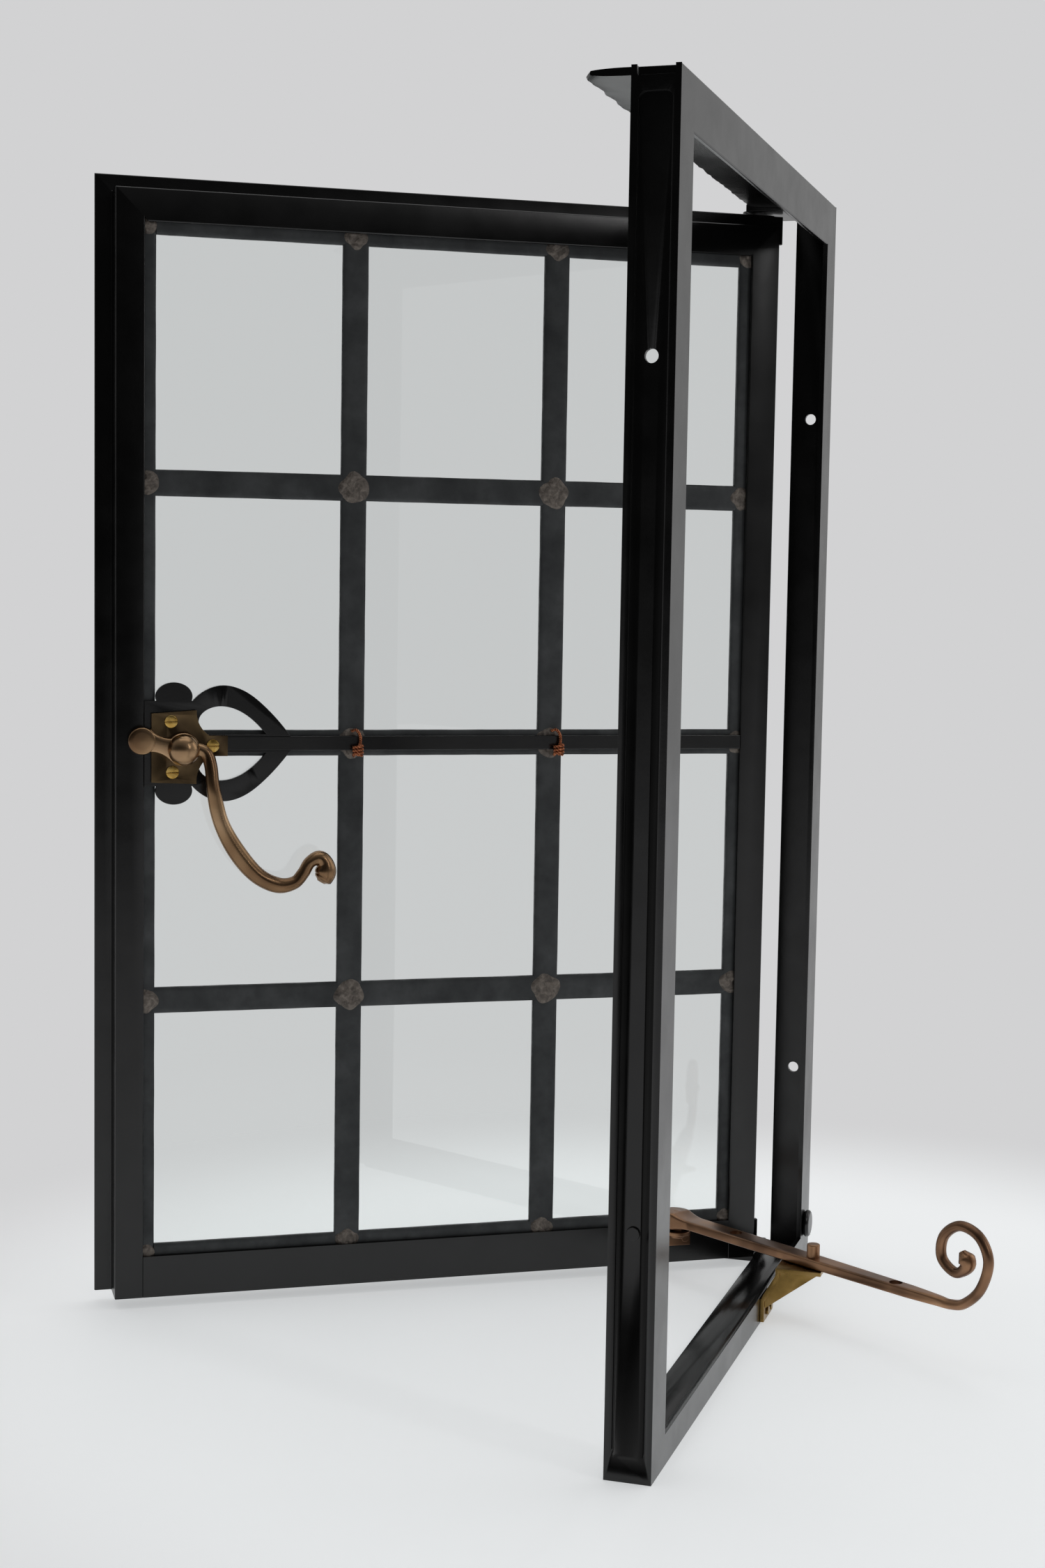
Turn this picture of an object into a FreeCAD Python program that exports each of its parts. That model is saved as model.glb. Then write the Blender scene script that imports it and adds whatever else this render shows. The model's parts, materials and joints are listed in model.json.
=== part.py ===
# Leaded-light steel casement window: fixed frame, side-hung sash standing open,
# cockspur handle and peg stay. Millimetres, +Z up, +X from the handle-side stile
# to the hinge stile, +Y from the room to the outdoors. The origin is the middle
# of the flat underside of the sill.
import FreeCAD, Part
import math
import os

vec = FreeCAD.Vector
doc = FreeCAD.newDocument("casement")
sheet = doc.addObject("Spreadsheet::Sheet", "sizes")

driving = [
    ("frame_width", 435.0, "outer width of the fixed frame"),
    ("frame_height", 700.0, "outer height of the fixed frame"),
    ("frame_depth", 25.0, "depth of the rolled frame section"),
    ("leg_width", 28.0, "room-side leg of stiles and head"),
    ("leg_thick", 3.0, "thickness of the legs"),
    ("stile_web", 5.0, "thickness of a stile's web"),
    ("groove_depth", 2.0, "depth of the groove in a stile's outer face"),
    ("groove_edge", 4.0, "lip beside each groove"),
    ("groove_corner", 4.0, "corner radius of each groove"),
    ("head_web", 8.0, "depth of the head's web with its channel"),
    ("head_channel", 5.0, "depth of the channel along the head"),
    ("strip_thick", 4.2, "flat strip lying in the head's channel"),
    ("fixing_radius", 3.5, "fixing holes through the stiles"),
    ("fixing_low", 128.0, "height of the lower fixing holes"),
    ("fixing_high", 562.0, "height of the upper fixing holes"),
    ("sill_leg", 16.8, "height of the sill's room-side leg"),
    ("sill_web", 5.5, "height of the sill's upper face"),
    ("sill_nose", 30.0, "depth to the sill's outer nose"),
    ("hood_length", 395.0, "length of the drip hood"),
    ("hood_reach", 26.0, "how far the drip hood stands out"),
    ("hood_thick", 4.0, "thickness of the drip hood"),
    ("hood_low", 695.3, "height of the hood's underside"),
    ("stop_radius", 9.0, "rounded stops at the sill's ends"),
    ("stop_reach", 4.0, "how far the stop stands into the room"),
    ("pivot_x", 431.7, "hinge axis from the handle side"),
    ("pivot_y", 52.5, "hinge axis from the room face"),
    ("open_angle", 56.9, "angle at which the sash stands open"),
    ("pin_radius", 3.0, "hinge pins and stay pivot"),
    ("running_gap", 0.05, "radial clearance of a turning fit"),
    ("knuckle_radius", 7.0, "hinge knuckles on the sash"),
    ("knuckle_height", 18.0, "height of the hinge knuckles"),
    ("sash_width", 421.7, "width of the sash's room face"),
    ("sash_gap", 7.3, "gap that lets the free stile swing past the frame"),
    ("sash_bottom", 6.6, "height of the sash's lower edge"),
    ("sash_top", 681.6, "height of the top of the sash's room face"),
    ("sash_plane", 3.5, "depth of the sash's room face when shut"),
    ("sash_depth", 25.0, "depth of the rolled sash section"),
    ("sash_wall", 3.0, "thickness of the sash section"),
    ("free_face", 17.3, "width of the free stile's room face"),
    ("stile_face", 18.6, "width of the hinge stile's room face"),
    ("top_face", 19.5, "height of the top rail's room face"),
    ("bottom_face", 25.7, "height of the bottom rail's room face"),
    ("sash_lip", 10.4, "weather lip beyond the sash's room face"),
    ("hinge_lip", 5.0, "weather lip on the hinge side"),
    ("came_width", 16.0, "width of the lead cames"),
    ("came_thick", 5.5, "thickness of the lead cames"),
    ("came_heart", 3.0, "heart of the cames between two panes"),
    ("came_inset", 1.0, "border came's centre behind the steel's edge"),
    ("glass_thick", 2.5, "thickness of the panes"),
    ("glass_play", 1.0, "room between a pane and the heart"),
    ("came_low", 192.0, "height of the lowest cross came"),
    ("came_middle", 350.5, "height of the middle cross came"),
    ("came_high", 508.0, "height of the highest cross came"),
    ("solder_radius", 10.0, "radius of the solder joints"),
    ("solder_thick", 0.6, "height of the solder joints"),
    ("saddle_height", 9.0, "height of the saddle bar"),
    ("plate_thick", 3.0, "thickness of plates and of the saddle bar"),
    ("handle_x", 47.5, "handle pivot from the handle side"),
    ("handle_z", 347.3, "height of the handle pivot"),
    ("spindle_radius", 4.0, "spindle that the handle turns on"),
    ("dome_radius", 10.3, "domed boss of the handle"),
    ("nose_radius", 8.4, "flat nose of the handle"),
    ("stay_x", 369.9, "stay pivot from the handle side, sash shut"),
    ("stay_gap", 12.0, "stay pivot in front of the sash's room face"),
    ("stay_low", 36.0, "height of the stay bar's underside"),
    ("stay_thick", 6.0, "thickness of the stay bar"),
    ("stay_pitch", 65.8, "distance between the stay's holes"),
    ("stay_first", 53.2, "distance from the pivot to the first hole"),
    ("stay_end", 226.0, "distance from the pivot to the curl"),
    ("stay_turn", 238.0, "direction in which the stay points"),
    ("eye_radius", 9.5, "eye of the stay"),
    ("eye_bore", 3.9, "loose bore of the eye, so that the stay lifts"),
    ("peg_radius", 4.0, "peg that the stay drops on to"),
    ("bracket_width", 24.0, "width of the peg bracket"),
    ("sheet_thick", 2.5, "thickness of the brass brackets"),
]
for row, (alias, value, note) in enumerate(driving, start=1):
    sheet.set("A%d" % row, note)
    sheet.set("B%d" % row, repr(value))
    sheet.setAlias("B%d" % row, alias)
doc.recompute()
size = {alias: float(sheet.get(alias)) for alias, value, note in driving}

# Places that follow from the driving sizes. X counts from the handle side here.
wide = size["frame_width"]
high = size["frame_height"]
deep = size["frame_depth"]
legW = size["leg_width"]
legT = size["leg_thick"]
web = size["stile_web"]
face = size["sash_plane"]
wall = size["sash_wall"]
back = face + size["sash_depth"]
sashLow = size["sash_bottom"]
sashHigh = size["sash_top"]
sashLeft = size["sash_gap"]
sashRight = sashLeft + size["sash_width"]
lightLeft = sashLeft + size["free_face"]
lightRight = sashRight - size["stile_face"]
lightLow = sashLow + size["bottom_face"]
lightHigh = sashHigh - size["top_face"]
leadFront = face + wall
leadBack = leadFront + size["came_thick"]
leadMiddle = (leadFront + leadBack) / 2.0
cameHalf = size["came_width"] / 2.0
pivotX = size["pivot_x"]
pivotY = size["pivot_y"]

# One shift puts the origin at the middle; the sash also turns about its hinge.
toMiddle = FreeCAD.Placement(vec(-wide / 2.0, -deep / 2.0, 0), FreeCAD.Rotation())
swing = FreeCAD.Rotation(vec(0, 0, 1), -size["open_angle"])
hinge = vec(pivotX, pivotY, 0)
opened = FreeCAD.Placement(hinge - swing.multVec(hinge), swing)
onFrame = toMiddle
onSash = toMiddle.multiply(opened)

nodes = []


def keep(thing, label, home):
    """Give an object its node name and its place on the frame or the sash."""
    thing.Label = label
    thing.Placement = home.multiply(thing.Placement)
    nodes.append(thing)
    return thing


def bound(thing, expressions):
    """Tie an object's properties to the sheet."""
    for prop, expression in expressions.items():
        thing.setExpression(prop, expression)
    return thing


def block(name, corner, length, width, height):
    """A box from its low corner, with three expressions for its sizes."""
    thing = bound(doc.addObject("Part::Box", name), {"Length": length, "Width": width, "Height": height})
    thing.Placement.Base = vec(*corner)
    return thing


def rod(name, start, direction, radius, height):
    """A cylinder from a start point along a direction, with bound radius and height."""
    thing = bound(doc.addObject("Part::Cylinder", name), {"Radius": radius, "Height": height})
    thing.Placement = FreeCAD.Placement(vec(*start), FreeCAD.Rotation(vec(0, 0, 1), vec(*direction)))
    return thing


def joined(name, things):
    union = doc.addObject("Part::MultiFuse", name)
    union.Shapes = things
    union.Refine = True
    return union


def grouped(name, things):
    """Separate solids of one kind, kept in one node."""
    group = doc.addObject("Part::Compound", name)
    group.Links = things
    return group


def cutAway(name, base, tools):
    cut = doc.addObject("Part::Cut", name)
    cut.Base = base
    cut.Tool = tools[0] if len(tools) == 1 else joined(name + "_tools", tools)
    return cut


def feature(name, shape):
    """A piece whose outline is drawn here from the sheet's sizes."""
    thing = doc.addObject("Part::Feature", name)
    thing.Shape = shape
    return thing


def originPlane(body, role):
    return [f for f in body.Origin.OriginFeatures if f.Role == role][0]


def drawn(body, name, role, geometry, offset=0.0):
    """A sketch on one of the body's own origin planes."""
    sketch = body.newObject("Sketcher::SketchObject", name)
    sketch.AttachmentSupport = [(originPlane(body, role), "")]
    sketch.MapMode = "FlatFace"
    sketch.AttachmentOffset = FreeCAD.Placement(vec(0, 0, offset), FreeCAD.Rotation())
    for piece in geometry:
        sketch.addGeometry(piece, False)
    return sketch


def loop(points):
    """Lines round a closed polygon."""
    corners = [vec(u, v, 0) for u, v in points]
    return [Part.LineSegment(a, b) for a, b in zip(corners, corners[1:] + corners[:1])]


def rectangle(u0, u1, v0, v1):
    return loop([(u0, v0), (u1, v0), (u1, v1), (u0, v1)])


def roundedSlot(u0, u1, v0, v1, r):
    """A rectangle with rounded corners."""
    corners = [(u1 - r, v1 - r, 0), (u0 + r, v1 - r, 1), (u0 + r, v0 + r, 2), (u1 - r, v0 + r, 3)]
    sides = [((u1 - r, v1), (u0 + r, v1)), ((u0, v1 - r), (u0, v0 + r)),
             ((u0 + r, v0), (u1 - r, v0)), ((u1, v0 + r), (u1, v1 - r))]
    outline = []
    for (u, v, quarter), (start, end) in zip(corners, sides):
        circle = Part.Circle(vec(u, v, 0), vec(0, 0, 1), r)
        outline.append(Part.ArcOfCircle(circle, quarter * math.pi / 2, (quarter + 1) * math.pi / 2))
        outline.append(Part.LineSegment(vec(*start, 0), vec(*end, 0)))
    return outline


def padded(body, sketch, name, length):
    pad = body.newObject("PartDesign::Pad", name)
    pad.Profile = sketch
    pad.setExpression("Length", length)
    doc.recompute()
    return pad


def pocketed(body, sketch, name, depth=None):
    """Cut a sketch through the body, or to a bound depth, and prove that it cut."""
    doc.recompute()
    before = body.Shape.Volume
    pocket = body.newObject("PartDesign::Pocket", name)
    pocket.Profile = sketch
    if depth is None:
        pocket.Type = 1
        pocket.Midplane = True
    else:
        pocket.Reversed = True
        pocket.setExpression("Length", depth)
    doc.recompute()
    if body.Shape.Volume > before - 0.01:
        raise RuntimeError(name + " cut nothing")
    return pocket


def rolledBar(name, profile, length, overrun, mitres, extent):
    """Rolled section: X inward, Y deep, Z along; mitres are (at start, at end)."""
    body = doc.addObject("PartDesign::Body", name)
    section = drawn(body, name + "_section", "XY_Plane", loop(profile), -overrun)
    padded(body, section, name + "_pad", extent)
    reach = 60.0
    if mitres[0]:
        wedge = loop([(-reach, -reach), (reach, -reach), (reach, reach)])
        pocketed(body, drawn(body, name + "_wedge_a", "XZ_Plane", wedge), name + "_mitre_a")
    if mitres[1]:
        top = length + reach
        wedge = loop([(-reach, top), (reach, length - reach), (reach, top)])
        pocketed(body, drawn(body, name + "_wedge_b", "XZ_Plane", wedge), name + "_mitre_b")
    return body


def turned(x, y, z, degrees):
    """Stand a bar at (x, y, z), turned about Y."""
    return FreeCAD.Placement(vec(x, y, z), FreeCAD.Rotation(vec(0, 1, 0), degrees))


# ---- fixed frame: rolled bars, mitred at the head and square on the sill ----
stileProfile = [(0, 0), (legW, 0), (legW, legT), (web, legT), (web, deep), (0, deep)]
edge = size["groove_edge"]
grooveInset = 12.5
headChannel = size["head_channel"]
headWeb = size["head_web"]
sillWeb = size["sill_web"]


def frameStile(label, place, startMitre):
    """A stile: a round-ended groove, an open channel at the mitre, two fixing holes."""
    body = rolledBar(label, stileProfile, high, 0.0, (startMitre, not startMitre), "sizes.frame_height")
    flip = (lambda z: high - z) if startMitre else (lambda z: z)
    low, top = sorted((flip(grooveInset), flip(high - grooveInset)))
    outline = roundedSlot(edge, deep - edge, low, top, size["groove_corner"])
    groove = drawn(body, label + "_groove_line", "YZ_Plane", outline)
    pocketed(body, groove, label + "_groove", "sizes.groove_depth")
    mouth, beyond = sorted((flip(high - headChannel), flip(high + headChannel)))
    valley = drawn(body, label + "_valley_line", "YZ_Plane", rectangle(legT, deep - legT, mouth, beyond))
    pocketed(body, valley, label + "_valley")
    up = vec(0, 0, 1)
    heights = [flip(size["fixing_low"]), flip(size["fixing_high"])]
    rings = [Part.Circle(vec(deep / 2.0, z, 0), up, size["fixing_radius"]) for z in heights]
    pocketed(body, drawn(body, label + "_holes", "YZ_Plane", rings), label + "_fixings")
    return keep(body, label, onFrame.multiply(place))


frameStile("frame_handle_stile", turned(0, 0, 0, 0), False)
frameStile("frame_hinge_stile", turned(wide, 0, high, 180), True)

headProfile = [
    (0, 0), (legW, 0), (legW, legT), (headWeb, legT), (headWeb, deep),
    (0, deep), (0, deep - legT), (headChannel, deep - legT), (headChannel, legT), (0, legT),
]
head = rolledBar("frame_head", headProfile, wide, 0.0, (True, True), "sizes.frame_width")
keep(head, "frame_head", onFrame.multiply(turned(0, 0, high, 90)))

# The sill's leg fits between the stiles' legs and its web between their webs.
nose = size["sill_nose"]
sillCrease = 13.5
sillProfile = [
    (0, 0), (0, size["sill_leg"]), (legT, size["sill_leg"]), (legT, sillWeb + 1.5),
    (legT + 1.5, sillWeb), (sillCrease, sillWeb), (nose, sillWeb - 1.9), (nose, 0),
]
sill = doc.addObject("PartDesign::Body", "frame_sill")
sillSection = drawn(sill, "sill_section", "YZ_Plane", loop(sillProfile), web)
padded(sill, sillSection, "sill_pad", "sizes.frame_width - 2 * sizes.stile_web")
sillEnds = rectangle(0, legW, -1, legT) + rectangle(wide - legW, wide, -1, legT)
sillEnds += rectangle(0, legW, deep, deep + 10)
pocketed(sill, drawn(sill, "sill_ends", "XY_Plane", sillEnds), "sill_shoulders")
keep(sill, "frame_sill", onFrame)

stripZ = high - headChannel
strip = block("head_strip", (1.5, legT + 0.2, stripZ), "sizes.frame_width - 3",
              "sizes.frame_depth - 2 * sizes.leg_thick - 0.4", "sizes.strip_thick")
keep(strip, "head_strip", onFrame)

hood = block("hood_blank", (2, deep, size["hood_low"]), "sizes.hood_length", "sizes.hood_reach", "sizes.hood_thick")
hoodRound = doc.addObject("Part::Fillet", "drip_hood")
hoodRound.Base = hood
doc.recompute()
outerEdges = [
    number for number, e in enumerate(hood.Shape.Edges, start=1)
    if abs(e.BoundBox.YMin - deep - size["hood_reach"]) < 0.01 and e.BoundBox.ZLength > 1
]
hoodRound.Edges = [(number, 6.0, 6.0) for number in outerEdges]
keep(hoodRound, "drip_hood", onFrame)

stopAt = (wide - 15.0, 0, size["sill_leg"] + 7.2)
stop = rod("sill_end_stop", stopAt, (0, -1, 0), "sizes.stop_radius", "sizes.stop_reach")
keep(stop, "sill_end_stop", onFrame)

# ---- projecting hinges: an arm on the frame, a pin in it, a knuckle on the sash ----
armReach = "sizes.pivot_y"
knuckleLow = sashLow
knuckleHigh = sashHigh + size["sash_lip"] - size["knuckle_height"]


def hingeArm(label, z, thick, start):
    """A flat arm from the frame out to the hinge axis, with a rounded end."""
    length = "%s - %g" % (armReach, start)
    plate = block(label + "_plate", (398, start, z), "sizes.pivot_x - 398", length, "%g" % thick)
    rounded = rod(label + "_end", (pivotX, pivotY, z), (0, 0, 1), "sizes.knuckle_radius + 2", "%g" % thick)
    corner = block(label + "_side", (pivotX, start, z), "sizes.knuckle_radius + 2", length, "%g" % thick)
    solid = joined(label + "_solid", [plate, rounded, corner])
    bore = rod(label + "_bore", (pivotX, pivotY, z - 1), (0, 0, 1), "sizes.pin_radius", "%g" % (thick + 2))
    return keep(cutAway(label, solid, [bore]), label, onFrame)


armThick = 5.0
topArmLow = sashHigh + size["sash_lip"] + 1.0
hingeArm("bottom_hinge_arm", 0.3, armThick, nose)
hingeArm("top_hinge_arm", topArmLow, armThick, deep)
pins = [
    rod("pin_low", (pivotX, pivotY, 0.3), (0, 0, 1), "sizes.pin_radius", "sizes.sash_bottom + sizes.knuckle_height"),
    rod("pin_high", (pivotX, pivotY, knuckleHigh), (0, 0, 1), "sizes.pin_radius",
        "sizes.frame_height - %g" % knuckleHigh),
]
keep(grouped("hinge_pins", pins), "hinge_pins", onFrame)


def knuckle(name, z):
    """A strap behind the sash's lip and an arm out to a bored knuckle."""
    height = "sizes.knuckle_height"
    strap = block(name + "_strap", (398, back, z), "43", "sizes.plate_thick", height)
    arm = block(name + "_arm", (pivotX - 4, back, z), "8", "sizes.pivot_y - %g" % back, height)
    barrel = rod(name + "_barrel", (pivotX, pivotY, z), (0, 0, 1), "sizes.knuckle_radius", height)
    solid = joined(name + "_solid", [strap, arm, barrel])
    bore = rod(name + "_bore", (pivotX, pivotY, z - 1), (0, 0, 1), "sizes.pin_radius + sizes.running_gap", height + " + 2")
    return cutAway(name, solid, [bore])


knuckles = [knuckle("knuckle_low", knuckleLow), knuckle("knuckle_high", knuckleHigh)]
keep(grouped("sash_hinge_lugs", knuckles), "sash_hinge_lugs", onSash)

# ---- sash: Z-section bars, mitred at the top and square on the bottom rail ----
depth = size["sash_depth"]
sashTall = sashHigh - sashLow


def zProfile(flange, lip):
    return [
        (0, 0), (flange, 0), (flange, wall), (wall, wall), (wall, depth),
        (-lip, depth), (-lip, depth - wall), (0, depth - wall),
    ]


lip = size["sash_lip"]
tall = "sizes.sash_top - sizes.sash_bottom + sizes.sash_lip"
span = "sizes.sash_width + 2 * sizes.sash_lip"
freeStile = rolledBar("sash_free_stile", zProfile(size["free_face"], lip), sashTall, 0.0, (False, True), tall)
keep(freeStile, "sash_free_stile", onSash.multiply(turned(sashLeft, face, sashLow, 0)))
hingeStile = doc.addObject("PartDesign::Body", "sash_hinge_stile")
hingeSection = drawn(hingeStile, "hinge_section", "XY_Plane", loop(zProfile(size["stile_face"], size["hinge_lip"])), -lip)
padded(hingeStile, hingeSection, "hinge_pad", tall)
hingeWedge = loop([(-60, -60), (60, -60), (60, 60)])
pocketed(hingeStile, drawn(hingeStile, "hinge_wedge", "XZ_Plane", hingeWedge), "hinge_mitre")
keep(hingeStile, "sash_hinge_stile", onSash.multiply(turned(sashRight, face, sashHigh, 180)))
topRail = rolledBar("sash_top_rail", zProfile(size["top_face"], lip), size["sash_width"], lip, (True, True), span)
railEnd = size["sash_width"] + size["hinge_lip"]
trim = drawn(topRail, "rail_trim_line", "XZ_Plane", rectangle(-60, 60, railEnd, railEnd + 60))
pocketed(topRail, trim, "rail_trim")
keep(topRail, "sash_top_rail", onSash.multiply(turned(sashLeft, face, sashHigh, 90)))

bottomProfile = [(face, sashLow), (face, lightLow), (leadFront, lightLow), (leadFront, sashLow + wall),
                 (back, sashLow + wall), (back, sashLow)]
bottomRail = doc.addObject("PartDesign::Body", "sash_bottom_rail")
bottomSection = drawn(bottomRail, "bottom_section", "YZ_Plane", loop(bottomProfile), sashLeft + wall)
padded(bottomRail, bottomSection, "bottom_pad", "sizes.sash_width - 2 * sizes.sash_wall")
bottomEnds = rectangle(sashLeft, lightLeft, face - 1, leadFront) + rectangle(lightRight, sashRight, face - 1, leadFront)
pocketed(bottomRail, drawn(bottomRail, "bottom_ends", "XY_Plane", bottomEnds), "bottom_shoulders")
keep(bottomRail, "sash_bottom_rail", onSash)

# ---- leaded light: H-section cames round twelve panes ----
inset = size["came_inset"]
column = (lightRight - lightLeft) / 3.0
xLines = [lightLeft - inset, lightLeft + column, lightLeft + 2 * column, lightRight + inset]
zLines = [lightLow - inset, size["came_low"], size["came_middle"], size["came_high"], lightHigh + inset]
heart = size["came_heart"] / 2.0
glassThick = size["glass_thick"]
glassFront = leadMiddle - glassThick / 2.0


def came(name, x0, x1, z0, z1, upright, sides):
    """A came's bar with a groove for the glass along each of its sides (-1 or +1)."""
    bar = block(name + "_bar", (x0, leadFront, z0), "%g" % (x1 - x0), "sizes.came_thick", "%g" % (z1 - z0))
    groove = "%g" % (cameHalf - heart + 1)
    tools = []
    for side in sides:
        start = heart if side > 0 else -cameHalf - 1
        label = "%s_groove%d" % (name, side + 1)
        if upright:
            corner = ((x0 + x1) / 2.0 + start, glassFront, z0 - 1)
            tools.append(block(label, corner, groove, "sizes.glass_thick", "%g" % (z1 - z0 + 2)))
        else:
            corner = (x0 - 1, glassFront, (z0 + z1) / 2.0 + start)
            tools.append(block(label, corner, "%g" % (x1 - x0 + 2), "sizes.glass_thick", groove))
    return cutAway(name, bar, tools)


def uprightCame(name, x, z0, z1, sides):
    return came(name, x - cameHalf, x + cameHalf, z0, z1, True, sides)


def crossCame(name, z, x0, x1, sides):
    return came(name, x0, x1, z - cameHalf, z + cameHalf, False, sides)


lowEnd = zLines[0] + cameHalf
highEnd = zLines[-1] - cameHalf
border = [
    uprightCame("border_left", xLines[0], lowEnd, highEnd, [1]),
    uprightCame("border_right", xLines[-1], lowEnd, highEnd, [-1]),
    crossCame("border_low", zLines[0], xLines[0] - cameHalf, xLines[-1] + cameHalf, [1]),
    crossCame("border_high", zLines[-1], xLines[0] - cameHalf, xLines[-1] + cameHalf, [-1]),
]
keep(grouped("border_cames", border), "border_cames", onSash)
uprights = [uprightCame("upright_%d" % n, xLines[n], lowEnd, highEnd, [-1, 1]) for n in (1, 2)]
keep(grouped("upright_cames", uprights), "upright_cames", onSash)
for row, z in enumerate(zLines[1:-1], start=1):
    pieces = [
        crossCame("cross_%d_%d" % (row, n), z, xLines[n] + cameHalf, xLines[n + 1] - cameHalf, [-1, 1])
        for n in range(3)
    ]
    keep(grouped("cross_cames_%d" % row, pieces), "cross_cames_%d" % row, onSash)

play = heart + size["glass_play"]
for row in range(4):
    for col in range(3):
        label = "glass_pane_%d_%d" % (row + 1, col + 1)
        corner = (xLines[col] + play, glassFront, zLines[row] + play)
        across = "%g" % (xLines[col + 1] - xLines[col] - 2 * play)
        upward = "%g" % (zLines[row + 1] - zLines[row] - 2 * play)
        keep(block(label, corner, across, "sizes.glass_thick", upward), label, onSash)

# Solder lies over each crossing; the saddle bar covers the middle row's room side.
joints = []
for x in xLines[1:3]:
    for z in zLines[1:-1]:
        sides = [(leadBack, 1)] if z == size["came_middle"] else [(leadBack, 1), (leadFront, -1)]
        for y, way in sides:
            name = "solder_%d" % len(joints)
            joints.append(rod(name, (x, y, z), (0, way, 0), "sizes.solder_radius", "sizes.solder_thick"))
keep(grouped("solder_joints", joints), "solder_joints", onSash)

putty = 9.0
puttyOuter = [(sashLeft + wall, sashLow + wall), (sashRight - wall, sashHigh - wall)]
puttyBack = back - wall - 7.0
puttyBars = [
    block("putty_low", (puttyOuter[0][0], leadBack, puttyOuter[0][1]),
          "sizes.sash_width - 2 * sizes.sash_wall", "%g" % (puttyBack - leadBack), "%g" % (putty + 6)),
    block("putty_high", (puttyOuter[0][0], leadBack, puttyOuter[1][1] - putty),
          "sizes.sash_width - 2 * sizes.sash_wall", "%g" % (puttyBack - leadBack), "%g" % putty),
    block("putty_left", (puttyOuter[0][0], leadBack, puttyOuter[0][1] + putty + 6),
          "%g" % putty, "%g" % (puttyBack - leadBack), "%g" % (puttyOuter[1][1] - puttyOuter[0][1] - 2 * putty - 6)),
    block("putty_right", (puttyOuter[1][0] - putty, leadBack, puttyOuter[0][1] + putty + 6),
          "%g" % putty, "%g" % (puttyBack - leadBack), "%g" % (puttyOuter[1][1] - puttyOuter[0][1] - 2 * putty - 6)),
]
keep(grouped("glazing_putty", puttyBars), "glazing_putty", onSash)

# ---- saddle bar, its copper ties and the ornamental plate ----
plateT = size["plate_thick"]
barZ = size["came_middle"]
barHalf = size["saddle_height"] / 2.0
blockRight = 64.0
saddle = block("saddle_bar", (blockRight, face, barZ - barHalf), "%g" % (lightRight - blockRight),
               "sizes.plate_thick", "sizes.saddle_height")
keep(saddle, "saddle_bar", onSash)

wire = 0.9
ties = []
for n, x in enumerate(xLines[1:3]):
    tieY = face - wire - 0.3
    reach = barHalf + wire + 0.3
    parts = [rod("tie_front_%d" % n, (x, tieY, barZ - reach), (0, 0, 1), "%g" % wire, "%g" % (2 * reach))]
    parts += [
        rod("tie_arm_%d_%d" % (n, way + 1), (x, tieY, barZ + way * reach), (0, 1, 0), "%g" % wire,
            "%g" % (leadFront - tieY))
        for way in (-1, 1)
    ]
    parts.append(rod("tie_knot_%d" % n, (x, tieY - 3, barZ - 2), (0, 1, 0), "3.2", "3"))
    ties.append(joined("tie_%d" % n, parts))
keep(grouped("copper_ties", ties), "copper_ties", onSash)


def curve(points):
    line = Part.BSplineCurve()
    line.interpolate([vec(x, face, z) for x, z in points])
    return line.toShape()


def straight(a, b):
    return Part.makeLine(vec(a[0], face, a[1]), vec(b[0], face, b[1]))


def mirrored(points):
    """The same points below the saddle bar's centre line, in reverse order."""
    return [(x, 2 * barZ - z) for x, z in reversed(points)]


# Heart-shaped loop: out and over the top to a point on the saddle bar, and back below.
loopTop = [(52, 374), (60, 382), (71, 386), (84, 383.5), (98, 373.5), (108, 363), (115.5, 353.5)]
outer = Part.Wire([
    curve(loopTop), straight(loopTop[-1], mirrored(loopTop)[0]), curve(mirrored(loopTop)),
    straight(mirrored(loopTop)[-1], loopTop[0]),
])
holeTop = [
    (64, 356.3), (58.6, 359.5), (57.8, 365.5), (62.5, 371), (70, 373.2), (80, 371.5), (89, 366.3), (99, 356.3),
]
loopPlate = Part.Face(outer).extrude(vec(0, plateT, 0))
holeShapes = []
for points in (holeTop, mirrored(holeTop)):
    ring = Part.Wire([curve(points), straight(points[-1], points[0])])
    holeShapes.append(Part.Face(ring).extrude(vec(0, plateT, 0)))
blockPlate = Part.makeBox(blockRight - lightLeft, plateT, 52, vec(lightLeft, face, barZ - 26))
plate = loopPlate.fuse(blockPlate).cut(holeShapes)
lobeLine = Part.Wire(Part.Ellipse(vec(0, 0, 0), 11.2, 8.6).toShape())
for way in (-1, 1):
    lobe = Part.Face(lobeLine).extrude(vec(0, 0, plateT))
    lobe.Placement = FreeCAD.Placement(vec(42.6, face, barZ + way * 28.7), FreeCAD.Rotation(vec(1, 0, 0), -90))
    plate = plate.fuse(lobe)
saddleGap = Part.makeBox(60, plateT, 2 * barHalf, vec(blockRight, face, barZ - barHalf))
spindleHole = Part.makeCylinder(size["spindle_radius"], plateT, vec(size["handle_x"], face, size["handle_z"]), vec(0, 1, 0))
plate = plate.cut([saddleGap, spindleHole]).removeSplitter()
keep(feature("ornamental_plate", plate), "ornamental_plate", onSash)

# ---- handle: backplate with a tab, screws, spindle, cockspur ----
hx = size["handle_x"]
hz = size["handle_z"]
plateLeft = lightLeft + 4.0
plateFront = face - plateT


def lineXZ(points, y):
    return [Part.makeLine(vec(a[0], y, a[1]), vec(b[0], y, b[1])) for a, b in zip(points, points[1:])]


def sweepIn(a, b, c, y):
    """A concave arc through three points."""
    return Part.Arc(*[vec(x, y, z) for x, z in (a, b, c)]).toShape()


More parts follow.
